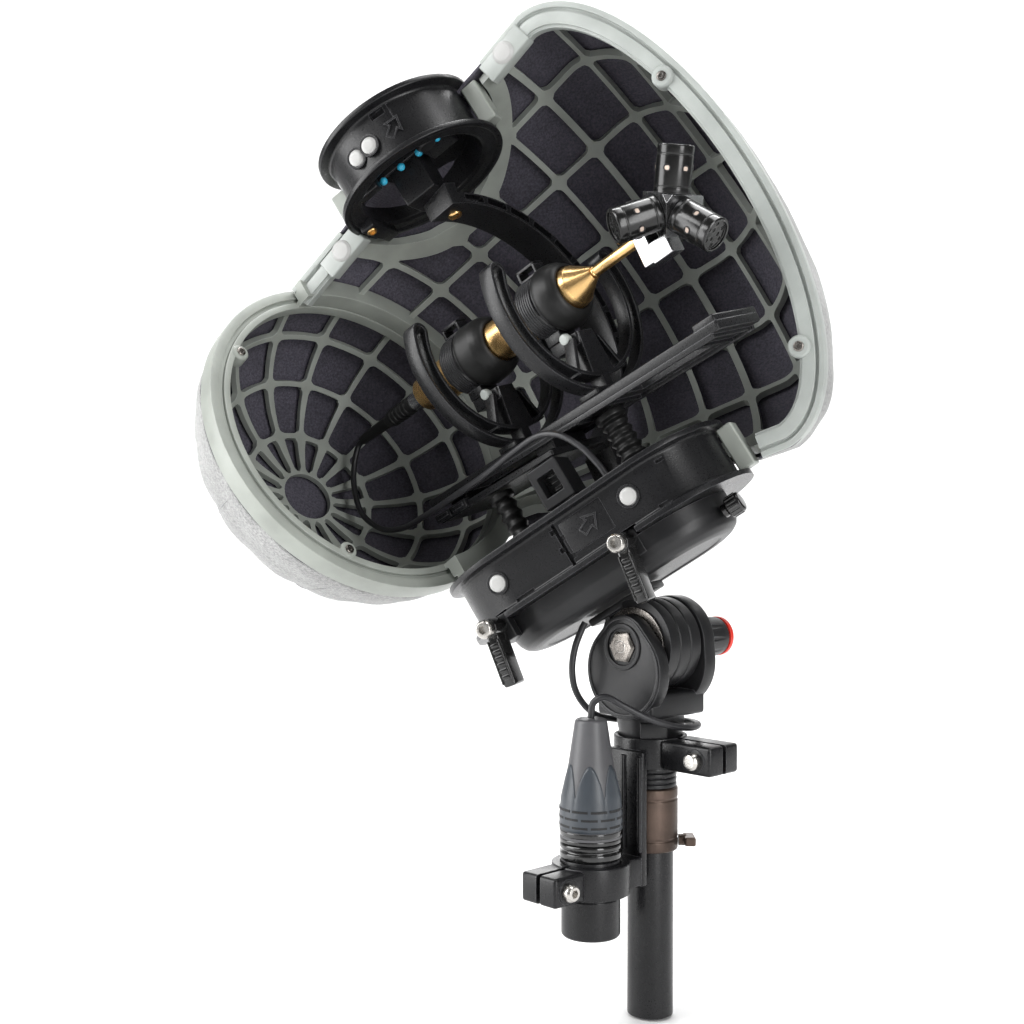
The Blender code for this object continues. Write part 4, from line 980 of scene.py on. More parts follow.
def lyre_outlines():
    """A bow's outline, and the two long gaps in it."""
    right = lyre_bow(LYRE_RADIUS, LYRE_INNER - LYRE_BAND, 284, 282, 16) + [(5.0, -16.3)]
    gap = lyre_bow(LYRE_RADIUS - LYRE_BAND, LYRE_INNER, 274, 274, 14)
    return [right + mirrored(right[::-1]), gap, mirrored(gap)]


def build_lyres():
    drop = 2.5
    for name, x, clip_x in (("front", 34.8, 24.5), ("rear", -21.8, -32.5)):
        body = name + "_lyre"
        at = placed((x, 0, -drop), (90, 0, 90), MIC)
        bows = flat(f"lyre_{name}_bows", lyre_outlines(), -4.0, 4.0, at, 0.55)
        foot = block(f"lyre_{name}_foot", (-13.0, -47.2, -6.0), (13.0, -44.1, 6.0), at, 0.7)
        seat = block(f"lyre_{name}_seat", (-6.0, -22.0, clip_x - x - 4.0), (6.0, -16.1, 3.0), at,
                     0.6)
        webs = [block(f"lyre_{name}_web_{side}", (-1.0, -40.0, -3.2), (1.0, -21.0, 3.2),
                      spun(at, side * 24.0), 0.4)
                for side in (-1, 1)]
        piece(joined(f"lyre_{name}_frame", [bows, foot, seat] + webs), body, BLACK, f"lyre_{name}")
        clip = placed((clip_x, 0, 0), (90, 0, 90), MIC)
        profile = [(14.2, 6.0), (14.2, 5.0)]
        for groove in range(7):
            top = 4.4 - groove * 1.35
            profile += [(15.0, top), (15.0, top - 0.8), (14.6, top - 0.95), (14.6, top - 1.25)]
        profile += [(14.2, -5.4), (14.2, -6.0), (10.3, -6.0), (10.3, 6.0)]
        ring = turned(f"clip_{name}_ring", profile, clip, ring=True, ease=0.15)
        lug = [block("clip_lug", (-3.4, y0, z0), (3.4, y1, z1), clip, 0.35)
               for y0, z0, y1, z1 in ((13.5, -6.0, 15.6, 6.0), (19.0, -6.0, 20.5, 6.0),
                                      (13.5, -6.0, 20.5, -4.4), (13.5, 4.4, 20.5, 6.0))]
        base = block(f"clip_{name}_base", (-5.6, -18.3, -4.8), (5.6, -13.2, 4.8), clip, 0.5)
        piece(joined(f"clip_{name}_grip", [ring, base] + lug), body, BLACK, f"clip_{name}")
        screw_at = placed((clip_x + 8.6, -7.4, -20.0), NEAR_FACE, MIC)
        screw = turned(f"clip_{name}_screw", [(0, 3.0), (2.2, 3.0), (2.6, 2.4), (2.6, 0.4),
                                              (1.6, 0.0), (1.6, -5.0), (0, -5.0)], screw_at, 32)
        piece(screw, body, PALE, slot="steel")
    for name, low, high in (("rear", -26.2, -9.0), ("front", 30.8, 43.0)):
        inner = 10.3
        profile = [(inner, high), (11.4, high), (12.8, high - 1.0), (14.4, high - 3.4),
                   (15.4, high - 6.4), (15.9, low + 3.4), (16.0, low + 2.0), (15.6, low),
                   (inner, low)]
        grommet = turned(f"grommet_{name}_dome", profile, MIC_AXIS, ring=True, ease=0.9)
        piece(grommet, "head", RUBBER, f"grommet_{name}")


# ---------------------------------------------------------------- spine, rail and chassis


def build_spine():
    inner_radius, outer_radius = 66.5, 72.5
    back, front = -15.0, 3.0
    outer = arc(outer_radius, 88, -58, 60)
    inner = arc(inner_radius, -58, 88, 60)
    foot = [(34.0, -70.0), (34.0, -96.0), (26.0, -96.0), (26.0, -66.0)]
    head = [(-4.0, 66.5), (-4.0, 84.0), (6.0, 84.0)]
    matrix = placed(turn=(90, 0, 90), parent=MIC)
    spine = flat("spine_arm", [(outer + foot + inner + head)[::-1]], back, front, matrix, 0.7)
    pockets = []
    middle = (inner_radius + outer_radius) / 2
    for index in range(11):
        angle = 80.0 - index * 12.0
        y = middle * math.cos(math.radians(angle))
        z = middle * math.sin(math.radians(angle))
        pockets.append(block("spine_pocket", (-1.0, -1.9, -5.9), (12.0, 1.9, 5.9),
                             placed((0, y, z), (angle, 0, 0), MIC), 0.3, 1))
    trims = [block("top_trim", (-40, -40, 73.7), (40, 40, 120), HEAD, 0),
             block("foot_trim", (-60, 0, -120), (60, 90, BASE_HIGH + GAP), HEAD, 0)]
    combine(spine, [joined("spine_pockets", pockets)] + trims)
    piece(soften(spine, 0.3), "head", BLACK, "spine")
    angle, reach = 84.0, inner_radius - 0.2
    y, z = reach * math.cos(math.radians(angle)), reach * math.sin(math.radians(angle))
    at = placed((-8.0, y, z), (angle + 90.0, 0, 0), MIC)
    screw = turned("spine_screw_0", [(0, 1.4), (3.0, 1.0), (3.6, 0.2), (3.6, -1.0), (0, -1.0)], at,
                   40)
    piece(combine(screw, [block("slot", (-4, -0.4, 0.6), (4, 0.4, 3), at, 0)]), "head", BRASS)


def build_rail():
    rail = block("rail_bar", (-82.0, -16.0, -54.5), (112.0, 16.0, -50.0), MIC, 0.8)
    stop = block("rail_stop", (100.0, -16.0, -51.0), (112.0, 16.0, -47.5), MIC, 0.8)
    slots = [block("rail_slot", (low, -8.0, -60.0), (high, 8.0, -40.0), MIC, 0.8)
             for low, high in ((-72.0, -40.0), (48.0, 92.0))]
    combine(rail, [joined("rail_slots", slots)])
    ribs = [block("rail_lip", (-80.0, y - 0.9, -56.6), (108.0, y + 0.9, -53.5), MIC, 0.4)
            for y in (-14.8, 14.8)]
    ribs += [block("rail_web", (x - 1.0, -15.0, -56.2), (x + 1.0, 15.0, -53.8), MIC, 0.4)
             for x in (20.0, 40.0, 96.0, 106.0)]
    piece(soften(joined("rail_frame", [rail, stop] + ribs), 0.2), "head", BLACK, "mount_rail")
    dress("chassis_plate", BLACK, 0.5)
    dress("chassis_socket", CASE_BLACK, 0.5)
    contacts = [block("socket_step", (-17.0, -17.5, z), (-11.0, -16.2, z + 1.6), HEAD, 0.2)
                for z in (-81.0, -77.5, -74.6)]
    piece(joined("socket_contacts", contacts), "head", GLOSS)
    tray = []
    for x in (-70.0, -58.0):
        tray.append(block("tray_tab", (x - 5.5, -22.4, -63.6), (x + 5.5, -17.9, -59.4), MIC, 0.5))
        tray.append(block("tray_slot", (x - 4.0, -23.0, -62.2), (x + 4.0, -22.3, -60.4), MIC, 0.2))
    piece(joined("chassis_tabs", tray), "head", BLACK)


def pleated(name, x, y, radius, top, bottom, count):
    """A rubber isolator with rounded pleats between two flanges."""
    profile = [(0, top), (radius, top), (radius, top - 3.0)]
    span = top - 4.0 - (bottom + 4.0)
    for k in range(count):
        start = top - 4.0 - span * k / count
        profile += [(radius - 2.2, start), (radius - 0.6, start - span / count * 0.5)]
    profile += [(radius - 2.2, bottom + 4.0), (radius, bottom + 3.0), (radius, bottom),
                (0, bottom)]
    return turned(name, profile, placed((x, y, 0), parent=HEAD), 56, ease=0.6)


def build_isolators():
    bottom = BASE_HIGH + GAP
    for name, x, y, radius, top, count in (("rear", -48.0, 4.0, 6.3, -62.4, 4),
                                           ("middle", -26.0, 8.0, 6.3, -64.8, 4),
                                           ("front", 21.0, -7.0, 7.3, -62.9, 5)):
        piece(pleated(f"isolator_{name}_pleats", x, y, radius, top, bottom, count), "head",
              RUBBER, f"isolator_{name}")


build_microphone()
build_capsules()
build_lyres()
build_spine()
build_rail()
build_isolators()


# ---------------------------------------------------------------- hubs

TOP_DISCS, TOP_DISC_Z = (-10.6, -1.8), 98.0
BASE_DISCS, BASE_DISC_Z = (-55.8, 16.9), -104.0


def white_disc(name, x, z, y):
    """A pale plastic disc in the hub's wall."""
    at = near_frame(x, y, z)
    disc = button(name, at, 1.2, 2.4, 0.6, 3.9, 1.4, 4.0, ease=0.5)
    ring = collar(name + "_ring", 5.2, 4.15, -1.0, 0.5, at, 40, 0.2)
    piece(disc, "head", WHITE)
    piece(ring, "head", BLACK)


def arrow(name, matrix):
    """A small raised outline arrow with a flat head and a short tail."""
    head = [(0.0, 6.5), (5.0, 0.5), (2.2, 0.5), (2.2, -4.5), (-2.2, -4.5), (-2.2, 0.5),
            (-5.0, 0.5)]
    inner = [(0.0, 4.9), (3.0, 1.3), (1.4, 1.3), (1.4, -3.7), (-1.4, -3.7), (-1.4, 1.3),
             (-3.0, 1.3)]
    return flat(name, [head, inner], -0.5, 0.45, matrix, 0.15)


def build_top_hub():
    outer, wall = HUB_RADIUS, HUB_RADIUS - WALL_INSET
    high, low = HUB_HIGH, HUB_LOW
    hollow, ceiling = 32.5, 98.0
    profile = [
        (0, high - 1.6), (outer - 6.0, high - 1.6), (outer - 4.6, high), (outer, high),
        (outer, high - 2.5), (wall + 0.6, high - 3.0), (wall, high - 4.0),
        (wall - 0.6, low + 4.0), (wall, low + 2.8), (outer + 1.5, low + 2.5),
        (outer + 1.5, low), (outer - 1.0, low), (outer - 2.0, low + 1.0),
        (hollow + 2.0, low + 1.0), (hollow, low + 2.0), (hollow, ceiling), (0, ceiling),
    ]
    at = placed((HUB_X, 0, 0), parent=HEAD)
    hub = turned("top_hub_spool", profile, at, 120, ease=0.5)
    cutters = [rod("disc_pocket", 4.6, 35.0, 42.0, near_frame(x, 0, TOP_DISC_Z), 40)
               for x in TOP_DISCS]
    notches = [block("hub_notch", (x, -42.0, high - z1), (x + w, -33.5, high - z0), HEAD, 0)
               for x, w, z0, z1 in ((-34.0, 8.0, 4.0, 9.0), (5.0, 7.0, 4.0, 7.5),
                                    (14.0, 2.0, 4.0, 12.0), (20.0, 5.0, 4.0, 6.5))]
    combine(hub, cutters + notches)
    boss = block("spine_boss", (-9.0, -13.0, 74.0), (8.0, 5.0, ceiling + 1.0), HEAD, 0.9)
    knuckle = [rod("boss_pin", 3.0, -16.0, -8.0, near_frame(0, 0, 80.0), 32)]
    step = block("underside_tray", (12.0, -22.0, 88.0), (27.0, -4.0, ceiling + 0.5), HEAD, 0.7)
    latch = block("underside_latch", (-24.0, -27.0, 85.0), (-12.0, -21.0, ceiling + 0.5), HEAD,
                  0.7)
    piece(soften(joined("top_hub_body", [hub, boss, step, latch] + knuckle), 0.3), "head", BLACK,
          "top_hub")
    for index, x in enumerate(TOP_DISCS):
        depth = math.sqrt(wall ** 2 - (x - HUB_X) ** 2)
        white_disc(f"top_disc_{index}", x, TOP_DISC_Z, -depth - 0.7)
    mark = near_frame(11.5, -wall + 1.6, 98.0, spin=-50.0) @ placed(turn=(0, 12.0, 0))
    piece(arrow("top_arrow", mark), "head", CASE_BLACK)
    cap = button("hub_cap", placed((18.0, -24.0, 86.5), (180, 0, 0), HEAD), 1.2, 3.6, 0.4, 4.4,
                 4.0)
    piece(cap, "head", CASE_BLACK)
    tab = block("underside_tab", (-38.0, -7.0, 80.5), (-30.5, 20.0, 85.5), HEAD, 1.2)
    piece(tab, "head", BLACK)
    screw_at = placed((-34.2, -2.8, 80.8), (160, 0, 0), HEAD)
    piece(screw_head("hub_gold_screw", screw_at, 2.4, 1.6), "head", BRASS)
    build_bumper_strip()


def build_bumper_strip():
    strip = block("bumper_base", (-24.5, -19.0, 90.0), (24.5, -17.0, 97.7), HEAD, 0.3)
    piece(strip, "head", BLACK, "bumper_strip", slot="blue")
    ball = [(1.9 * math.sin(math.radians(a)), 1.9 * math.cos(math.radians(a)))
            for a in range(0, 190, 15)]
    dots = [turned("bumper_dot", ball, placed((x, -18.0, 89.2), parent=HEAD), 28, ease=0)
            for x in (-22.0, -11.0, 0.0, 11.0, 22.0)]
    piece(joined("bumper_dots", dots), "head", CYAN)


def build_base_hub():
    spool = stadium_loft("bottom_hub_spool", [
        (3.0, BASE_HIGH - 1.4), (2.0, BASE_HIGH), (0.0, BASE_HIGH), (0.0, BASE_HIGH - 2.5),
        (WALL_INSET - 0.8, BASE_HIGH - 3.0), (WALL_INSET, BASE_HIGH - 4.0),
        (WALL_INSET, BASE_LOW + 4.0), (WALL_INSET - 0.8, BASE_LOW + 3.0), (0.0, BASE_LOW + 2.5),
        (0.0, BASE_LOW)], BASE_LENGTH, BASE_WIDTH, BASE_X, HEAD)
    cutters = [block("hub_seam", (-20.7, -45.0, -116.5), (-18.9, -31.0, -95.5), HEAD, 0)]
    for step, z in enumerate((-113.5, -109.0, -104.5, -100.0)):
        side = -22.6 if step % 2 else -18.9
        cutters.append(block("seam_tooth", (side, -45.0, z), (side + 1.9, -31.6, z + 2.4), HEAD,
                             0))
    cutters += [rod("disc_pocket", 4.6, 31.6, 42.0, near_frame(x, 0, BASE_DISC_Z), 40)
                for x in BASE_DISCS]
    for x in LEVER_X.values():
        cutters.append(block("lever_notch", (x - 5.4, -46.0, -130.0),
                             (x + 7.4, -19.4, LEVER_Z + 5.0), HEAD, 0))
    for low, high in (((-52.0, -45.0, -116.0), (-42.0, -31.8, -114.4)),
                      ((26.0, -45.0, -116.0), (36.0, -31.8, -114.4)),
                      ((40.0, -45.0, -103.0), (41.6, -29.0, -97.0)),
                      ((34.0, -45.0, -98.6), (41.6, -29.0, -97.0))):
        cutters.append(block("hub_slot", low, high, HEAD, 0))
    combine(spool, cutters)
    plate = block("hub_label_plate", (-17.4, -33.5, -112.0), (5.0, -32.6, -97.0), HEAD, 0.35)
    piece(soften(joined("bottom_hub_body", [spool, plate]), 0.35), "head", BLACK, "bottom_hub")
    for index, x in enumerate(BASE_DISCS):
        white_disc(f"bottom_disc_{index}", x, BASE_DISC_Z, -33.3)
    piece(arrow("bottom_arrow", near_frame(-5.0, -33.5, -104.5, spin=-65.0)), "head", CASE_BLACK)


def build_cover():
    top = BASE_LOW - GAP
    cover = stadium_loft("cover_shell", [
        (0.0, top), (0.0, top - 7.5), (0.9, top - 10.8), (2.6, top - 13.6),
        (5.4, top - 15.4), (8.5, COVER_BOTTOM), (12.0, COVER_BOTTOM), (12.6, COVER_BOTTOM + 0.6),
        (15.0, COVER_BOTTOM + 0.6)], COVER_LENGTH, COVER_WIDTH, COVER_X, HEAD, 0.8)
    lugs, holes = [], []
    for x in LEVER_X.values():
        lugs.append(block("lever_lug", (x - 5.0, -31.2, -128.0), (x + 5.0, -12.0, top - 0.1), HEAD,
                          0.8))
        lugs.append(block("lever_lug_top", (x - 5.0, -31.2, top - 1.0),
                          (x + 5.0, -19.7, LEVER_Z + 4.6), HEAD, 0.8))
        holes.append(rod("lever_hole", 2.3, 19.5, 45.0, near_frame(x, 0, LEVER_Z), 32, 0))
    combine(cover, [joined("lever_lugs", lugs)], "UNION")
    combine(cover, holes)
    piece(soften(cover, 0.3), "head", CASE_BLACK, "hub_base_cover")
    knob = placed((0, -12.0, -129.0), ALONG_X, HEAD)
    body = turned("cover_knob_body", [(0, 53.1), (3.6, 53.1), (4.4, 52.6), (4.7, 51.2),
                                      (4.7, 46.6), (3.0, 45.6), (3.0, 43.6), (0, 43.6)], knob, 40)
    ribs = [block("knob_rib", (4.2, -0.35, 46.9), (5.0, 0.35, 51.6),
                  spun(knob, 360.0 * k / 14), 0.15, 1)
            for k in range(14)]
    piece(joined("cover_knob_ribbed", [body] + ribs), "cover_knob", GLOSS, "base_knob")


def build_levers():
    """Gloss levers: a barrel, a ridged near face between raised bright edges."""
    for name, x in LEVER_X.items():
        at = placed((x, 0, LEVER_Z), (90, 10.0, 0), HEAD)
        barrel = turned(f"lever_{name}_barrel", [(4.3, 44.6), (4.3, 31.5), (2.3, 31.5),
                                                 (2.3, 44.6)], at, 56, ring=True, ease=0.5)
        grip = block(f"lever_{name}_grip", (-2.6, -27.0, 33.0), (3.4, -3.0, 44.2), at, 1.3, 4)
        parts = [barrel, grip]
        for k in range(6):
            y = -8.0 - 2.9 * k
            parts.append(block("ridge", (-1.7, y - 1.0, 43.6), (2.5, y + 1.0, 44.8), at, 0.45, 3))
        for side in (-2.45, 2.65):
            parts.append(block("edge", (side, -25.4, 43.4), (side + 0.6, -5.4, 45.0), at, 0.25))
        piece(joined(f"lever_{name}_body", parts), f"{name}_lever", GLOSS, f"lever_{name}")
        cap_screw(f"lever_{name}", "head", near_frame(x, 0, LEVER_Z), 20.0, 46.0, 45.3, 4.1)


def build_clips():
    for name in ("top_clip_front", "top_clip_rear", "bottom_clip_front", "bottom_clip_rear"):
        dress(name, GREY, 0.8)
    # The strut that carries the rear clip, outside the hub's flange, from the shell's ring.
    route = [(-86.2, 25.2, -106), (-86.3, 25.6, -98), (-85.4, 27.6, -90), (-80.5, 33.2, -79),
             (-73.0, 41.2, -69.6)]
    piece(tube("bottom_clip_rear_strut", smooth_route(route, 24), 2.1, HEAD), "main_shell", GREY)


build_top_hub()
build_base_hub()
build_cover()
build_levers()
build_clips()


# ---------------------------------------------------------------- swivel, bracket, connector


def egg_outline(top_radius, low_radius, drop):
    lean = math.degrees(math.asin((low_radius - top_radius) / drop))
    top = arc(top_radius, lean, 180 - lean, 36)
    low = arc(low_radius, 180 - lean, 360 + lean, 48, (0.0, -drop))
    return [(x, -y) for x, y in top + low][::-1]


def build_fork():
    """Neck, two cheeks and the web under the drum."""
    neck = turned("fork_neck", [(0, 139), (15.2, 139), (15.0, 131), (14.0, 126), (12.5, 121),
                                (11.3, 116), (10.5, 112.3), (5.0, 112.3), (5.0, 118), (0, 118)],
                  ROW, ease=0.6)
    near = flat("near_cheek", [egg_outline(14.0, 21.5, 11.0)], -19.0, -12.0, PIVOT, 1.0)
    far = flat("far_cheek", [egg_outline(21.0, 21.6, 8.0)], 12.0, 20.0, PIVOT, 1.0)
    web = block("fork_web", (-16.0, 20.5, -18.0), (16.0, 31.5, 19.0), PIVOT, 1.6)
    combine(web, [rod("drum_clearance", 21.1, -12.0, 12.0, PIVOT, STEPS, 0)])
    for part in (near, far):
        bore = turned("fork_bore", [(0, 40), (3.3, 40), (3.3, -16.5), (8.0, -16.5), (8.0, -30),
                                    (0, -30)], PIVOT, 48, ease=0)
        combine(part, [bore])
    fork = joined("swivel_fork_casting", [neck, near, far, web])
    piece(soften(fork, 0.5), "swivel_base", CASE_BLACK, "swivel_fork")
    rings = [collar("boss_ring", 10.4, 8.15, -20.0, -18.5, PIVOT, ease=0.5)]
    rings.append(flat("cheek_border", [egg_outline(13.2, 20.6, 10.8),
                                       egg_outline(11.9, 19.3, 10.6)], -19.5, -18.8, PIVOT, 0.25))
    piece(joined("cheek_relief", rings), "swivel_base", CASE_BLACK)
    window_frame = placed(turn=(0, 0, 24.0))
    piece(joined("neck_relief", [block("neck_window", (-6.0, -15.6, 126.0), (6.0, -14.0, 133.0),
                                       window_frame, 0.6)]), "swivel_base", CASE_BLACK)
    shank = rod("bolt_shank", 3.0, -17.5, 30.0, PIVOT, 40)
    head = turned("bolt_hexagon", [(0, -20.5), (6.2, -20.5), (7.5, -19.7), (7.5, -16.8),
                                   (0, -16.8)], PIVOT, 6, ease=0.25, smooth=20.0)
    cup = turned("bolt_cup", [(0, -20.7), (2.2, -20.9), (2.6, -20.5), (2.6, -19.8), (0, -19.8)],
                 PIVOT, 32)
    piece(joined("pivot_bolt_steel", [shank, head, cup]), "swivel_base", WORN_STEEL, "pivot_bolt")
    for name, low in (("friction_disc_near", -11.7), ("friction_disc_far", 10.7)):
        disc = collar(name + "_steel", 17.0, 3.3, low, low + 1.0, PIVOT, 96, 0.15)
        piece(disc, "swivel_base", WORN_STEEL, name)


def build_knob():
    profile = [(0, 50.0), (7.0, 50.0), (7.0, 46.6), (9.0, 46.2), (9.3, 42.0), (9.8, 36.0),
               (10.2, 29.0), (10.9, 24.0), (10.9, 21.3), (9.8, 20.3), (3.3, 20.3), (3.3, 30.5),
               (0, 30.5)]
    knob = turned("clamp_knob_body", profile, PIVOT, ease=0.6)
    flutes = [rod("flute", 1.6, 27.0, 48.0, spun(PIVOT, 360.0 * k / 10, (10.8, 0, 0)), 20)
              for k in range(10)]
    combine(knob, [joined("flutes", flutes)])
    piece(soften(knob, 0.2), "clamp_knob", CASE_BLACK, "swivel_knob")
    ring = turned("knob_red_ring", [(7.3, 50.0), (8.2, 50.0), (9.2, 49.0), (9.2, 46.9),
                                    (7.3, 46.9)], PIVOT, ring=True)
    piece(ring, "clamp_knob", RED, "knob_ring")


def build_yoke():
    drum = turned("drum", [(20.5, 10.4), (20.5, 4.2), (20.1, 3.9), (20.1, 3.3), (20.5, 3.0),
                           (20.5, -3.0), (20.1, -3.3), (20.1, -3.9), (20.5, -4.2), (20.5, -10.4),
                           (3.3, -10.4), (3.3, 10.4)], PIVOT, 96, ring=True, ease=0.25)
    yoke = [block("yoke_block", (-32.0, -3.5, -152.0), (-8.0, 7.5, COVER_BOTTOM - GAP), HEAD, 1.5),
            block("yoke_foot", (-38.0, -6.5, -139.8), (-3.0, 11.0, COVER_BOTTOM - GAP), HEAD, 1.0)]
    ribs = [block("yoke_rib", (x, -5.6, -150.0), (x + 1.6, 9.0, COVER_BOTTOM - 1.0), HEAD, 0.5)
            for x in (-30.0, -24.0, -18.0, -12.0)]
    combine(drum, [joined("yoke", yoke + ribs)], "UNION")
    combine(drum, [rod("yoke_bore", 3.3, -40.0, 40.0, PIVOT, 40, 0)])
    piece(soften(drum, 0.4), "head", CASE_BLACK, "yoke_arm")


def build_bracket():
    """The bracket that holds the connector, with its two split clamps."""
    upper = turned("upper_ring", [(16.5, 126.0), (16.5, 112.6), (11.6, 112.6), (13.2, 121.0),
                                  (14.6, 126.0)], ROW, 96, ring=True, ease=0.6)
    upper_ears = block("upper_ears", (13.8, -10.2, 112.9), (41.0, 10.2, 125.7), EARS, 1.5)
    combine(upper_ears, [rod("neck_room", 15.0, 100.0, 140.0, ROW, STEPS, 0)])
    lower = collar("lower_ring", 17.0, 13.1, 62.0, 75.5, PLUG, 96, 0.6)
    lower_ears = block("lower_ears", (14.0, -10.2, 62.5), (32.0, 10.2, 75.0), PLUG_EARS, 1.5)
    end = block("arm_end", (15.0, -10.5, 62.5), (26.0, 10.5, 75.0), ARM, 0.8)
    for part in (lower_ears, end):
        combine(part, [rod("plug_room", 13.1, 50.0, 90.0, PLUG, STEPS, 0)])
    for part, frame_of_ears in ((upper, EARS), (upper_ears, EARS), (lower, PLUG_EARS),
                                (lower_ears, PLUG_EARS)):
        combine(part, [block("slit", (4.0, -1.2, 50.0), (50.0, 1.2, 140.0), frame_of_ears, 0)])
    arm = [block("arm_plate", (14.6, -11.0, 62.0), (18.0, 11.0, 121.0), ARM, 0.9),
           block("arm_root", (11.6, -9.5, 112.8), (16.5, 9.5, 120.5), ARM, 0.6)]
    arm += [block("arm_rib", (17.4, y - 0.9, 77.0), (19.3, y + 0.9, 119.0), ARM, 0.6)
            for y in (-9.6, 0.0, 9.6)]
    screws = {"upper": EARS @ placed((33.0, 0, 119.3), (90, 0, 0)),
              "lower": PLUG_EARS @ placed((25.0, 0, 68.7), (-90, 0, 0))}
    pads = [rod("screw_pad", 5.2, 10.0, 10.9, at, 40, 0.4) for at in screws.values()]
    body = joined("bracket_casting", [upper, upper_ears, lower, lower_ears, end] + arm + pads)
    piece(soften(body, 0.3), "swivel_base", BLACK, "cable_bracket")
    for name, at in screws.items():
        cap_screw(f"bracket_{name}", "swivel_base", at, -12.2, 11.2, 10.5, 3.7)


def boot_radius(height):
    """Outer radius of the boot's cone, tapering to the cable."""
    levels = [(84.5, 13.4), (92.0, 13.4), (104.0, 12.5), (118.0, 9.7), (137.0, 6.9)]
    for (low, wide), (high, slim) in zip(levels, levels[1:]):
        if height <= high:
            return wide + (slim - wide) * (height - low) / (high - low)
    return levels[-1][1]


def petal_band():
    """The soft lower sleeve of the boot, rising in six rounded petals."""
    petals, levels, base = 6, 14, 90.0
    rows = []
    for level in spread(0.0, 1.0, levels):
        row = []
        for turn in full_turn(180):
            peak = 102.5 + 15.5 * abs(math.cos(petals * turn / 2 + 0.6)) ** 0.62
            height = base + (peak - base) * level
            radius = min(13.65, boot_radius(height) + 0.3 + 0.5 * (1 - level))
            row.append((radius * math.cos(turn), radius * math.sin(turn), height))
        rows.append(row)
    return thicken(loft("boot_petals", rows, PLUG, smooth=60.0), 0.7, -1.0)


def build_connector():
    boot = [(0, 137.0), (6.3, 137.0), (7.0, 136.2)]
    boot += [(boot_radius(height), height) for height in (128.0, 118.0, 110.0, 104.0, 97.0, 92.0)]
    boot += [(13.4, 84.5), (0, 84.5)]
    piece(turned("connector_boot_cone", boot, PLUG, 96, ease=0.8), "swivel_base", BOOT,
          "connector_boot")
    skirt = [(13.6, 89.7), (13.6, 87.6), (13.1, 87.2), (13.1, 86.6), (13.6, 86.2), (13.6, 84.6),
             (12.8, 84.6), (12.8, 89.7)]
    piece(turned("boot_skirt", skirt, PLUG, 96, ring=True, ease=0.3), "swivel_base", GLOSS)
    piece(petal_band(), "swivel_base", BOOT_LOW)
    # Painted shade: near-black dashes on the boot stand for the shade inside its recessed grip
    # marks.
    dashes = [block("dash", (12.9, -0.75, height - 0.5), (13.72, 0.75, height + 0.5),
                    spun(PLUG, 6.0 * k), 0)
              for row, height in enumerate((99.0, 95.6, 92.2)) for k in range(60)
              if (k + 3 * row) % 6]
    piece(joined("boot_grip_mark_shade", dashes), "swivel_base", BLACK_AND_RECESS_SHADE, slot="boot_grey")
    ring = [(9.0, 84.2), (13.2, 84.2), (13.6, 83.6), (13.6, 82.2), (12.8, 81.7), (12.8, 80.9),
            (13.6, 80.4), (13.6, 78.2), (13.2, 77.3), (9.0, 77.3)]
    piece(turned("locking_ring_gloss", ring, PLUG, 96, ring=True, ease=0.35), "lock_ring", GLOSS,
          "locking_ring")
    shell = [(0, 77.0), (12.8, 77.0), (12.8, 61.5), (12.5, 61.2), (12.5, 60.4), (12.8, 60.1),
             (12.8, 44.5), (12.0, 43.5), (10.6, 43.5), (10.6, 58.0), (0, 58.0)]
    piece(turned("socket_shell_body", shell, PLUG, 96, ease=0.4), "swivel_base", BLACK,
          "socket_shell")
    insert = [(0, 57.7), (10.3, 57.7), (10.3, 50.0), (0, 50.0)]
    face = turned("contact_insert_face", insert, PLUG, 56)
    holes = [rod("contact_hole", 1.3, 49.0, 52.5, spun(PLUG, 360.0 * k / 5, (5.6, 0, 0)), 20, 0)
             for k in range(5)]
    piece(combine(face, holes), "swivel_base", RUBBER, "contact_insert")


def build_pole():
    piece(rod("pole_tube", 10.3, 0.0, 90.0, ROW, 96, 0.5), "pole", BLACK, "stand_pole")
    ferrule = [(0, 114.0), (4.7, 114.0), (4.7, 102.8), (11.6, 102.8), (12.3, 102.2), (12.3, 98.4),
               (12.0, 98.1), (12.0, 97.3), (12.3, 97.0), (12.3, 80.4), (12.0, 80.1),
               (12.0, 79.3), (12.3, 79.0), (12.3, 75.0), (11.7, 74.4), (10.6, 74.4),
               (10.6, 90.3), (0, 90.3)]
    piece(turned("ferrule_body", ferrule, ROW, 96, ease=0.35), "pole", PEWTER, "pole_ferrule")
    dress("ferrule_screw", PEWTER, 0.4)
    ring = [(5.0, 112.0), (11.8, 112.0)]
    for groove in range(3):
        top = 110.4 - groove * 2.4
        ring += [(11.8, top), (11.0, top - 0.5), (11.8, top - 1.0)]
    ring += [(11.8, 103.1), (5.0, 103.1)]
    piece(turned("collar_ring", ring, ROW, 96, ring=True, ease=0.2), "swivel_base", BLACK,
          "thread_collar")


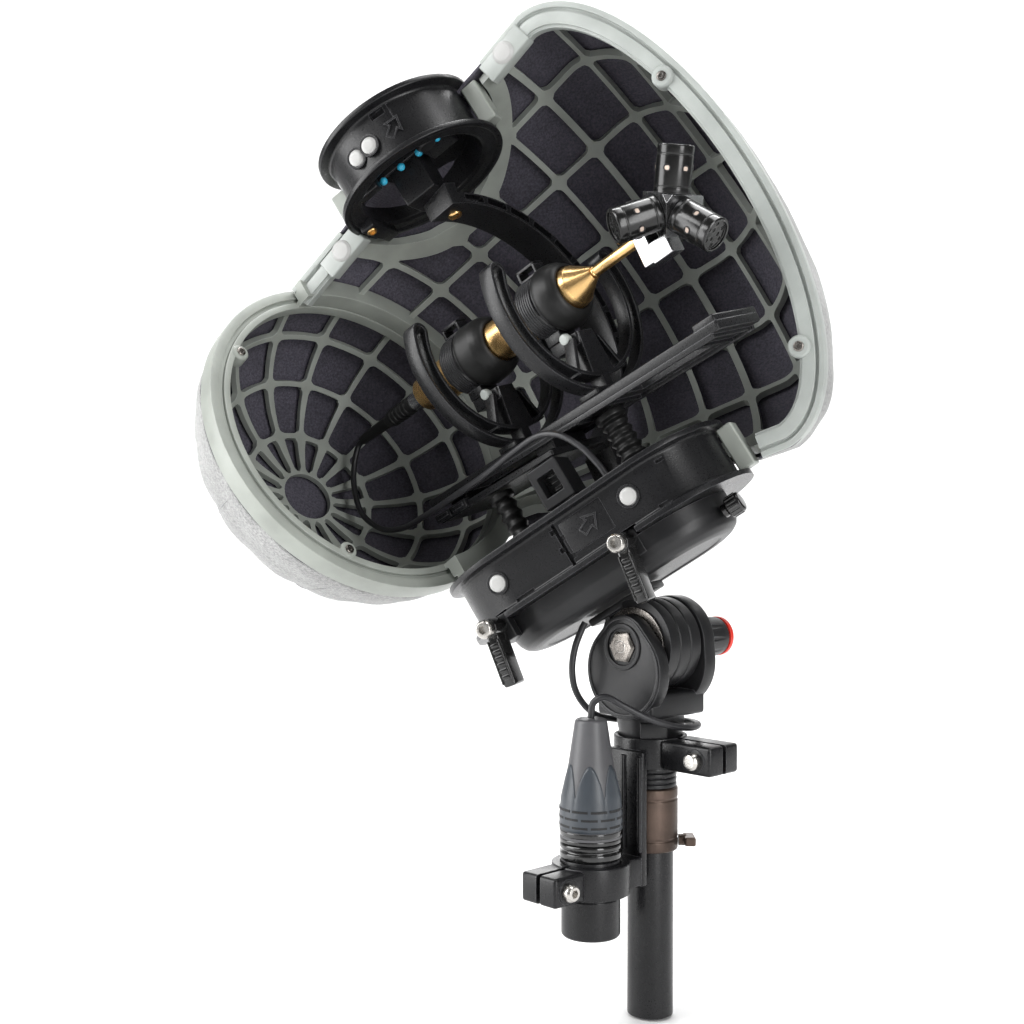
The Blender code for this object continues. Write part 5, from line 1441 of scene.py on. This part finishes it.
build_fork()
build_knob()
build_yoke()
build_bracket()
build_connector()
build_pole()


# ---------------------------------------------------------------- stage and light


FLOOR_LEVEL = -0.001
BACKDROP_TURN = 24.0
TARGET = (-0.06, 0.0, 0.27)
# An area light's place, what it faces, its size in metres and its power.
LIGHTS = {
    "key": ((-0.75, -1.0, 1.0), TARGET, (0.45, 0.45), 5.0),
    "left_bank": ((-1.0, -0.6, 0.5), TARGET, (0.7, 1.1), 15.0),
    "right_bank": ((1.1, -0.75, 0.5), TARGET, (0.5, 1.1), 13.0),
    "top": ((0.15, 0.15, 1.4), TARGET, (0.9, 0.5), 9.0),
    "back": ((-0.7, 1.1, 0.8), TARGET, (0.9, 0.9), 7.0),
    "backdrop": ((-0.1, 0.75, 1.9), (-0.75, 1.75, 0.3), (2.5, 0.5), 46.0),
}


def build_stage():
    """A pale floor that curves up behind the object."""
    curve = [(1.4 + x, 0.8 + y) for x, y in arc(0.8, -80, 0, 8)]
    profile = [(-3.0, 0.0), (1.4, 0.0)] + curve + [(2.2, 4.0)]
    rows = [[Vector((x, y, z + FLOOR_LEVEL)) / MM for y, z in profile] for x in (-5.0, 5.0)]
    floor = loft("floor", rows, placed(turn=(0, 0, BACKDROP_TURN)), False, smooth=60.0)
    paint(floor, surface("pale_floor", None, (0.86, 0.86, 0.86), 0.6, tint=0.01, bump=0.02))


def build_light():
    for name, (at, target, size, power) in LIGHTS.items():
        data = bpy.data.lights.new(name, "AREA")
        data.energy = power
        data.shape = "RECTANGLE"
        data.size, data.size_y = size
        light = bpy.data.objects.new(name, data)
        light.location = at
        aim = Vector(target) - Vector(at)
        light.rotation_euler = aim.to_track_quat("-Z", "Y").to_euler()
        SCENE.collection.objects.link(light)
    world = bpy.data.worlds.new("studio")
    world.use_nodes = True
    feed(world.node_tree, world.node_tree.nodes["Background"],
         {"Color": (1.0, 1.0, 1.0, 1.0), "Strength": 0.2})
    SCENE.world = world
    SCENE.view_settings.view_transform = "Standard"


build_stage()
build_light()
